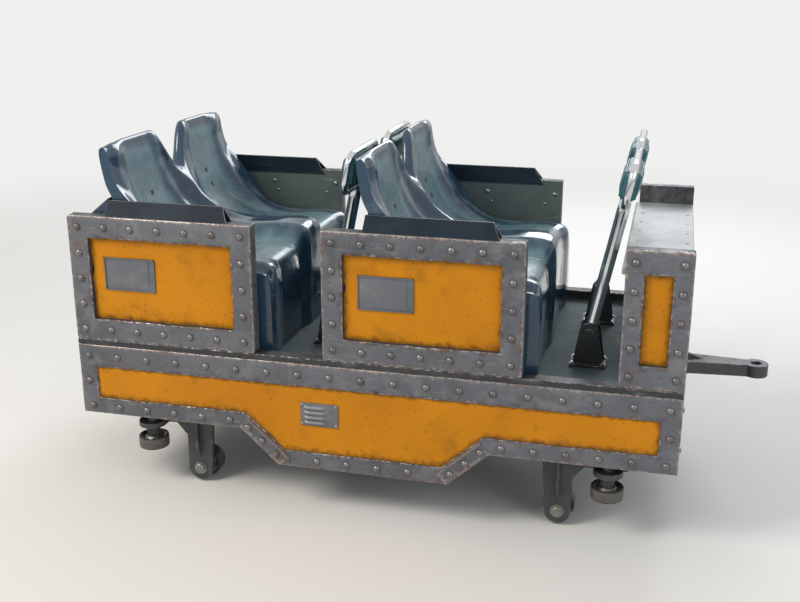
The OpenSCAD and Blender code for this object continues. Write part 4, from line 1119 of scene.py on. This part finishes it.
# fasteners: one head on every marked point, turned to face out of the surface
def headTree(name, domed):
    tree = bpy.data.node_groups.new(name, "GeometryNodeTree")
    for label, kind in (("Geometry", "Geometry"), ("Radius", "Float"), ("Height", "Float"),
                        ("Seed", "Int"), ("Finish", "Material")):
        tree.interface.new_socket(label, in_out="INPUT", socket_type="NodeSocket" + kind)
    tree.interface.new_socket("Geometry", in_out="OUTPUT", socket_type="NodeSocketGeometry")
    given = addNode(tree, "NodeGroupInput").outputs
    size = addNode(tree, "ShaderNodeCombineXYZ", {
        0: given["Radius"], 1: given["Radius"], 2: given["Height"]})
    if domed:
        head = addNode(tree, "GeometryNodeMeshUVSphere", {"Segments": 16, "Rings": 8, "Radius": 1.0})
    else:
        # hexagon with a chamfered top on a round washer
        nut = addNode(tree, "GeometryNodeMeshCylinder", {"Vertices": 6, "Radius": 1.0, "Depth": 1.5})
        cap = addNode(tree, "GeometryNodeMeshCone", {
            "Vertices": 6, "Radius Top": 0.86, "Radius Bottom": 1.0, "Depth": 0.16})
        cap = addNode(tree, "GeometryNodeTransform", {0: cap, "Translation": (0, 0, 0.75)})
        disc = addNode(tree, "GeometryNodeMeshCylinder", {"Vertices": 24, "Radius": 1.28, "Depth": 0.44})
        head = addNode(tree, "GeometryNodeJoinGeometry")
        for part in (nut, cap, disc):
            tree.links.new(part.outputs[0], head.inputs[0])
    head = addNode(tree, "GeometryNodeTransform", {0: head, "Scale": size})
    facing = addNode(tree, "GeometryNodeInputNamedAttribute", {"Name": "facing"}, data_type="FLOAT_VECTOR")
    upright = addNode(tree, "FunctionNodeAlignRotationToVector", {"Vector": facing}, axis="Z")
    chance = addNode(tree, "FunctionNodeRandomValue", {2: 0.0, 3: 2 * math.pi, "Seed": given["Seed"]},
                     data_type="FLOAT")
    twist = addNode(tree, "FunctionNodeAxisAngleToRotation", {
        "Axis": (0, 0, 1), "Angle": chance.outputs[1]})
    turn = addNode(tree, "FunctionNodeRotateRotation", {"Rotation": upright, "Rotate By": twist},
                   rotation_space="LOCAL")
    placed = addNode(tree, "GeometryNodeInstanceOnPoints", {
        "Points": given["Geometry"], "Instance": head, "Rotation": turn})
    real = addNode(tree, "GeometryNodeRealizeInstances", {0: placed})
    painted = addNode(tree, "GeometryNodeSetMaterial", {0: real, "Material": given["Finish"]})
    addNode(tree, "NodeGroupOutput", {0: painted})
    return tree


heads = {"dome": headTree("domeHeads", True), "hex": headTree("hexHeads", False)}


def fasteners(name, head, spots, radius, height, seed, body="car", finish="bare_steel"):
    # heads on spots of (place, direction), worked into one plain piece
    source = bpy.data.meshes.new(name + ".points")
    source.from_pydata([spot for spot, away in spots], [], [])
    facing = source.attributes.new("facing", "FLOAT_VECTOR", "POINT")
    facing.data.foreach_set("vector", [part for spot, away in spots for part in away])
    values = {"Radius": radius, "Height": height, "Seed": seed, "Finish": finishes[finish]}
    piece = linked(name, source)
    nodes = piece.modifiers.new("made", "NODES")
    nodes.node_group = heads[head]
    for item in nodes.node_group.interface.items_tree:
        if item.in_out == "INPUT" and item.name in values:
            nodes[item.identifier] = values[item.name]
    settled(piece)
    smoothShade(piece.data, 40)
    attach(piece, body)


# rivets of the side panels and skirts
rivet = {"radius": 0.0118, "height": 0.0094, "alongRow": 7, "upStile": 5, "alongSkirt": 19,
         "skirtShallow": 6, "skirtDeep": 6, "fromEnd": 0.035, "endIn": 0.030, "deepIn": 0.03,
         "lowShare": 0.48, "seed": 3}
rivets = []
for side in sides.values():
    spots = []
    for x0, x1, stile in recesses:
        count = rivet["alongRow"] if x1 - x0 > panel["wideFrom"] else 2
        half = panel["rail"] / 2
        columns = evenly(x0 + stile / 2, x1 - stile / 2, count)
        zs = evenly(car["panelLow"] + half, car["panelHigh"] - half, rivet["upStile"])
        spots += [(x, z) for x in columns for z in (zs[0], zs[-1])]
        spots += [(x, z) for x in (columns[0], columns[-1]) for z in zs[1:-1]]
    topZ = car["skirtTop"] - skirt["topStrip"] / 2
    lowZ = skirt["bottom"] + skirt["lowStrip"] * rivet["lowShare"]
    lastX = car["halfLength"] - rivet["fromEnd"]
    spots += [(x, topZ) for x in evenly(-lastX, lastX, rivet["alongSkirt"])]
    for end in ends.values():
        firstX = skirt["deepHalf"] + skirt["slopeRun"] + rivet["fromEnd"]
        spots += [(end * x, lowZ) for x in evenly(firstX, lastX, rivet["skirtShallow"])]
        spots.append((end * (car["halfLength"] - rivet["endIn"]), (topZ + lowZ) / 2))
    deepX = skirt["deepHalf"] - rivet["deepIn"]
    spots += [(x, lowZ - skirt["drop"]) for x in evenly(-deepX, deepX, rivet["skirtDeep"])]
    rivets += [((x, side * car["halfWidth"], z), (0, side, 0)) for x, z in spots]
fasteners("side_rivets", "dome", rivets + strapRivets, rivet["radius"], rivet["height"], rivet["seed"],
          finish="rivet")

# small screws: linings, deck, vents, box lid; distances from a piece's edges in metres
screw = {"radius": 0.0055, "height": 0.0026, "topFrom": 0.16, "lowFrom": 0.40, "ahead": 0.06,
         "topDown": 0.085, "lowUp": 0.055, "deckSide": 0.05, "deckRear": 0.030, "deckFront": 0.020,
         "lid": 0.014, "acrossDeck": 7, "seed": 5}
liningBolt = {"radius": 0.009, "height": 0.0038, "xs": (0.34, 0.585), "up": 0.39, "seed": 6}
screws, liningBolts = [], []
for side in sides.values():
    for low, high in rowBox.values():
        y, last = side * car["innerY"], high.x - screw["ahead"]
        upper, lower = car["panelHigh"] - screw["topDown"], car["panelLow"] + screw["lowUp"]
        lining = [(x, upper) for x in evenly(low.x + screw["topFrom"], last, 3)]
        lining += [(x, lower) for x in evenly(low.x + screw["lowFrom"], last, 2)]
        screws += [((x, y, z), (0, -side, 0)) for x, z in lining]
        liningBolts += [((low.x + x, y, car["floorTop"] + liningBolt["up"]), (0, -side, 0))
                        for x in liningBolt["xs"]]
    for x in (vent["xs"][0] + vent["screwIn"], vent["xs"][1] - vent["screwIn"]):
        for z in (vent["zs"][0] + vent["screwIn"], vent["zs"][1] - vent["screwIn"]):
            screws.append(((x, side * (band["face"] + vent["depth"]), z), (0, side, 0)))
low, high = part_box("front_deck")
deckXs = (low.x + screw["deckRear"], high.x - screw["deckFront"])
for y in evenly(low.y + screw["deckSide"], high.y - screw["deckSide"], screw["acrossDeck"]):
    screws += [((x, y, high.z), (0, 0, 1)) for x in deckXs]
low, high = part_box("junction_box")
for y in (low.y + screw["lid"], high.y - screw["lid"]):
    screws += [((low.x, y, z), (-1, 0, 0)) for z in (low.z + screw["lid"], high.z - screw["lid"])]
fasteners("panel_screws", "dome", screws, screw["radius"], screw["height"], screw["seed"])
fasteners("lining_bolts", "dome", liningBolts, liningBolt["radius"], liningBolt["height"],
          liningBolt["seed"])

# hexagon bolts of the chassis, couplers, end plates and lap bar pedestals
bolt = {"radius": 0.0085, "height": 0.0065, "flange": 0.012, "flangeYs": (-0.042, 0.042),
        "flangeZs": (0.409, 0.471), "plateYs": (-0.40, -0.25, 0.25, 0.40), "plateDown": 0.040,
        "plateUp": 0.045, "footXs": (-0.044, 0.044), "footYs": (-0.032, 0.032), "footUp": 0.008,
        "seed": 7}
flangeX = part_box("chassis_frame")[1].x + bolt["flange"]
plateLow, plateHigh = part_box("end_plates")
bolts = []
for sign in ends.values():
    bolts += [((sign * flangeX, y, z), (sign, 0, 0)) for y in bolt["flangeYs"] for z in bolt["flangeZs"]]
    bolts += [((sign * plateHigh.x, y, z), (sign, 0, 0)) for y in bolt["plateYs"]
              for z in (plateHigh.z - bolt["plateDown"], plateLow.z + bolt["plateUp"])]
for end in ends:
    for side in sides:
        x, y, z = pivotPlace(end, side)
        bolts += [((x + dx, y + dy, car["floorTop"] + bolt["footUp"]), (0, 0, 1)) for dx in bolt["footXs"]
                  for dy in bolt["footYs"]]
fasteners("chassis_bolts", "hex", bolts, bolt["radius"], bolt["height"], bolt["seed"])

# wheels with their bolts, and the nuts of their pins
nut = {"radius": 0.017, "height": 0.011, "carrierOuterY": 0.372, "shelfTop": 0.226, "seed": 11}


def middleOf(node):
    low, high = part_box(node)
    return (low + high) / 2


for end in ends:
    nuts = []
    for side, sy in sides.items():
        for kind in ("running", "upstop"):
            middle = middleOf(kind + "_wheel_" + end + "_" + side)
            nuts.append(((middle.x, sy * nut["carrierOuterY"], middle.z), (0, sy, 0)))
        middle = middleOf("guide_wheel_" + end + "_" + side)
        nuts.append(((middle.x, middle.y, nut["shelfTop"]), (0, 0, 1)))
    fasteners("pin_nuts." + end, "hex", nuts, nut["radius"], nut["height"], nut["seed"], end + "_axle")
    for side in sides:
        for kind in ("running", "guide", "upstop"):
            facts = wheel[kind]
            name = kind + "_wheel_" + end + "_" + side
            turn = Matrix.Rotation(math.radians(facts["turned"]), 4, "X")
            place = Matrix.Translation(middleOf(name)) @ turn
            low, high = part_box(name)
            radius = (high.x - low.x) / 2
            addPiece(name + ".turned", wheelForm(facts, place, radius), "wheel_tread", [name], 40, name,
                     [finishes["bare_steel"], finishes["wheel_tread"]])
            boltCircle = (facts["hubRadius"] + radius * (1 - wheel["tread"])) / 2
            web = 2 * facts["half"] * wheel["web"]
            wheelBolts = []
            for spot in ringSpots(boltCircle, 0, facts["bolts"]):
                for face in (-1, 1):
                    spot.z = face * web
                    away = turn.to_3x3() @ Vector((0, 0, face))
                    wheelBolts.append((tuple(place @ spot), tuple(away)))
            fasteners(name + ".bolts", "hex", wheelBolts, radius * wheel["boltRadius"],
                      radius * wheel["boltHeight"], wheel["boltSeed"], name)
print("running gear and fasteners made")

# pale studio: a floor that fades into the background and isn't seen from below, lamps, and a world that
# the camera sees as nearly white
studio = {"floorColour": "#E4E3DF", "backColour": "#F0F0EE", "worldColour": "#F4F6FA", "ambient": 0.5,
          "reach": 60.0, "fadeFrom": 2.0, "fadeTo": 6.5, "floorRough": 0.9, "lampAim": (0, 0, 0.6)}
reach = studio["reach"]
floorMesh = bpy.data.meshes.new("studioFloor")
floorMesh.from_pydata([(-reach, -reach, 0), (reach, -reach, 0), (reach, reach, 0), (-reach, reach, 0)], [],
                      [(0, 1, 2, 3)])
floorMaterial = makeFinish("studioPaper", studio["floorColour"], studio["floorRough"], [])
tree = floorMaterial.node_tree
output = next(node for node in tree.nodes if node.type == "OUTPUT_MATERIAL")
paper = output.inputs["Surface"].links[0].from_socket
place = addNode(tree, "ShaderNodeTexCoord").outputs["Object"]
away = addNode(tree, "ShaderNodeVectorMath", {0: place}, operation="LENGTH").outputs["Value"]
faded = addNode(tree, "ShaderNodeMapRange", {
    "Value": away, "From Min": studio["fadeFrom"], "From Max": studio["fadeTo"]},
    interpolation_type="SMOOTHSTEP")
seen = addNode(tree, "ShaderNodeLightPath").outputs["Is Camera Ray"]
faded = addNode(tree, "ShaderNodeMath", {0: faded, 1: seen}, operation="MULTIPLY")
glow = addNode(tree, "ShaderNodeEmission", {"Color": toLinear(studio["backColour"]), "Strength": 1.0})
upper = addNode(tree, "ShaderNodeMixShader", {0: faded, 1: paper, 2: glow})
clear = addNode(tree, "ShaderNodeBsdfTransparent")
below = addNode(tree, "ShaderNodeNewGeometry").outputs["Backfacing"]
both = addNode(tree, "ShaderNodeMixShader", {0: below, 1: upper, 2: clear})
tree.links.new(both.outputs[0], output.inputs["Surface"])
floorMesh.materials.append(floorMaterial)
floor = linked("studioFloor", floorMesh)

world = bpy.data.worlds.new("studioWorld")
scene.world = world
world.use_nodes = True
tree = world.node_tree
tree.nodes.clear()
path = addNode(tree, "ShaderNodeLightPath").outputs
seen = path["Is Camera Ray"]
for ray in ("Is Glossy Ray", "Is Transmission Ray"):
    seen = addNode(tree, "ShaderNodeMath", {0: seen, 1: path[ray]}, operation="MAXIMUM")
dim = addNode(tree, "ShaderNodeBackground", {
    "Color": toLinear(studio["worldColour"]), "Strength": studio["ambient"]})
pale = addNode(tree, "ShaderNodeBackground", {"Color": toLinear(studio["backColour"]), "Strength": 1.0})
mixed = addNode(tree, "ShaderNodeMixShader", {0: seen, 1: dim, 2: pale})
addNode(tree, "ShaderNodeOutputWorld", {0: mixed})


def aimed(name, data, at, aim):
    # a lamp or the camera at a place, facing a point
    made = linked(name, data)
    made.location = at
    made.rotation_euler = (Vector(aim) - made.location).to_track_quat("-Z", "Y").to_euler()
    return made


lamps = {
    "key": {"at": (-3.4, -3.4, 4.4), "size": 2.2, "watts": 240, "colour": "#FFF8EE"},
    "fill": {"at": (4.2, -3.0, 2.8), "size": 3.2, "watts": 75, "colour": "#F2F6FF"},
    "back": {"at": (0.8, 4.4, 3.6), "size": 2.6, "watts": 140, "colour": "#F5F8FF"},
}
for name, lamp in lamps.items():
    data = bpy.data.lights.new(name, "AREA")
    data.size = lamp["size"]
    data.energy = lamp["watts"]
    data.color = toLinear(lamp["colour"])[:3]
    aimed(name, data, lamp["at"], studio["lampAim"])

# the photograph's viewpoint: beside the nose on the right, at standing eye height
view = {"at": (0.866, -3.374, 1.675), "aim": (0.0, 0.0, 0.575), "lens": 48.0, "sensor": 36.0}
cameraData = bpy.data.cameras.new("camera")
cameraData.lens = view["lens"]
cameraData.sensor_width = view["sensor"]
scene.camera = aimed("camera", cameraData, view["at"], view["aim"])
scene.view_settings.view_transform = "Standard"

print("studio made")
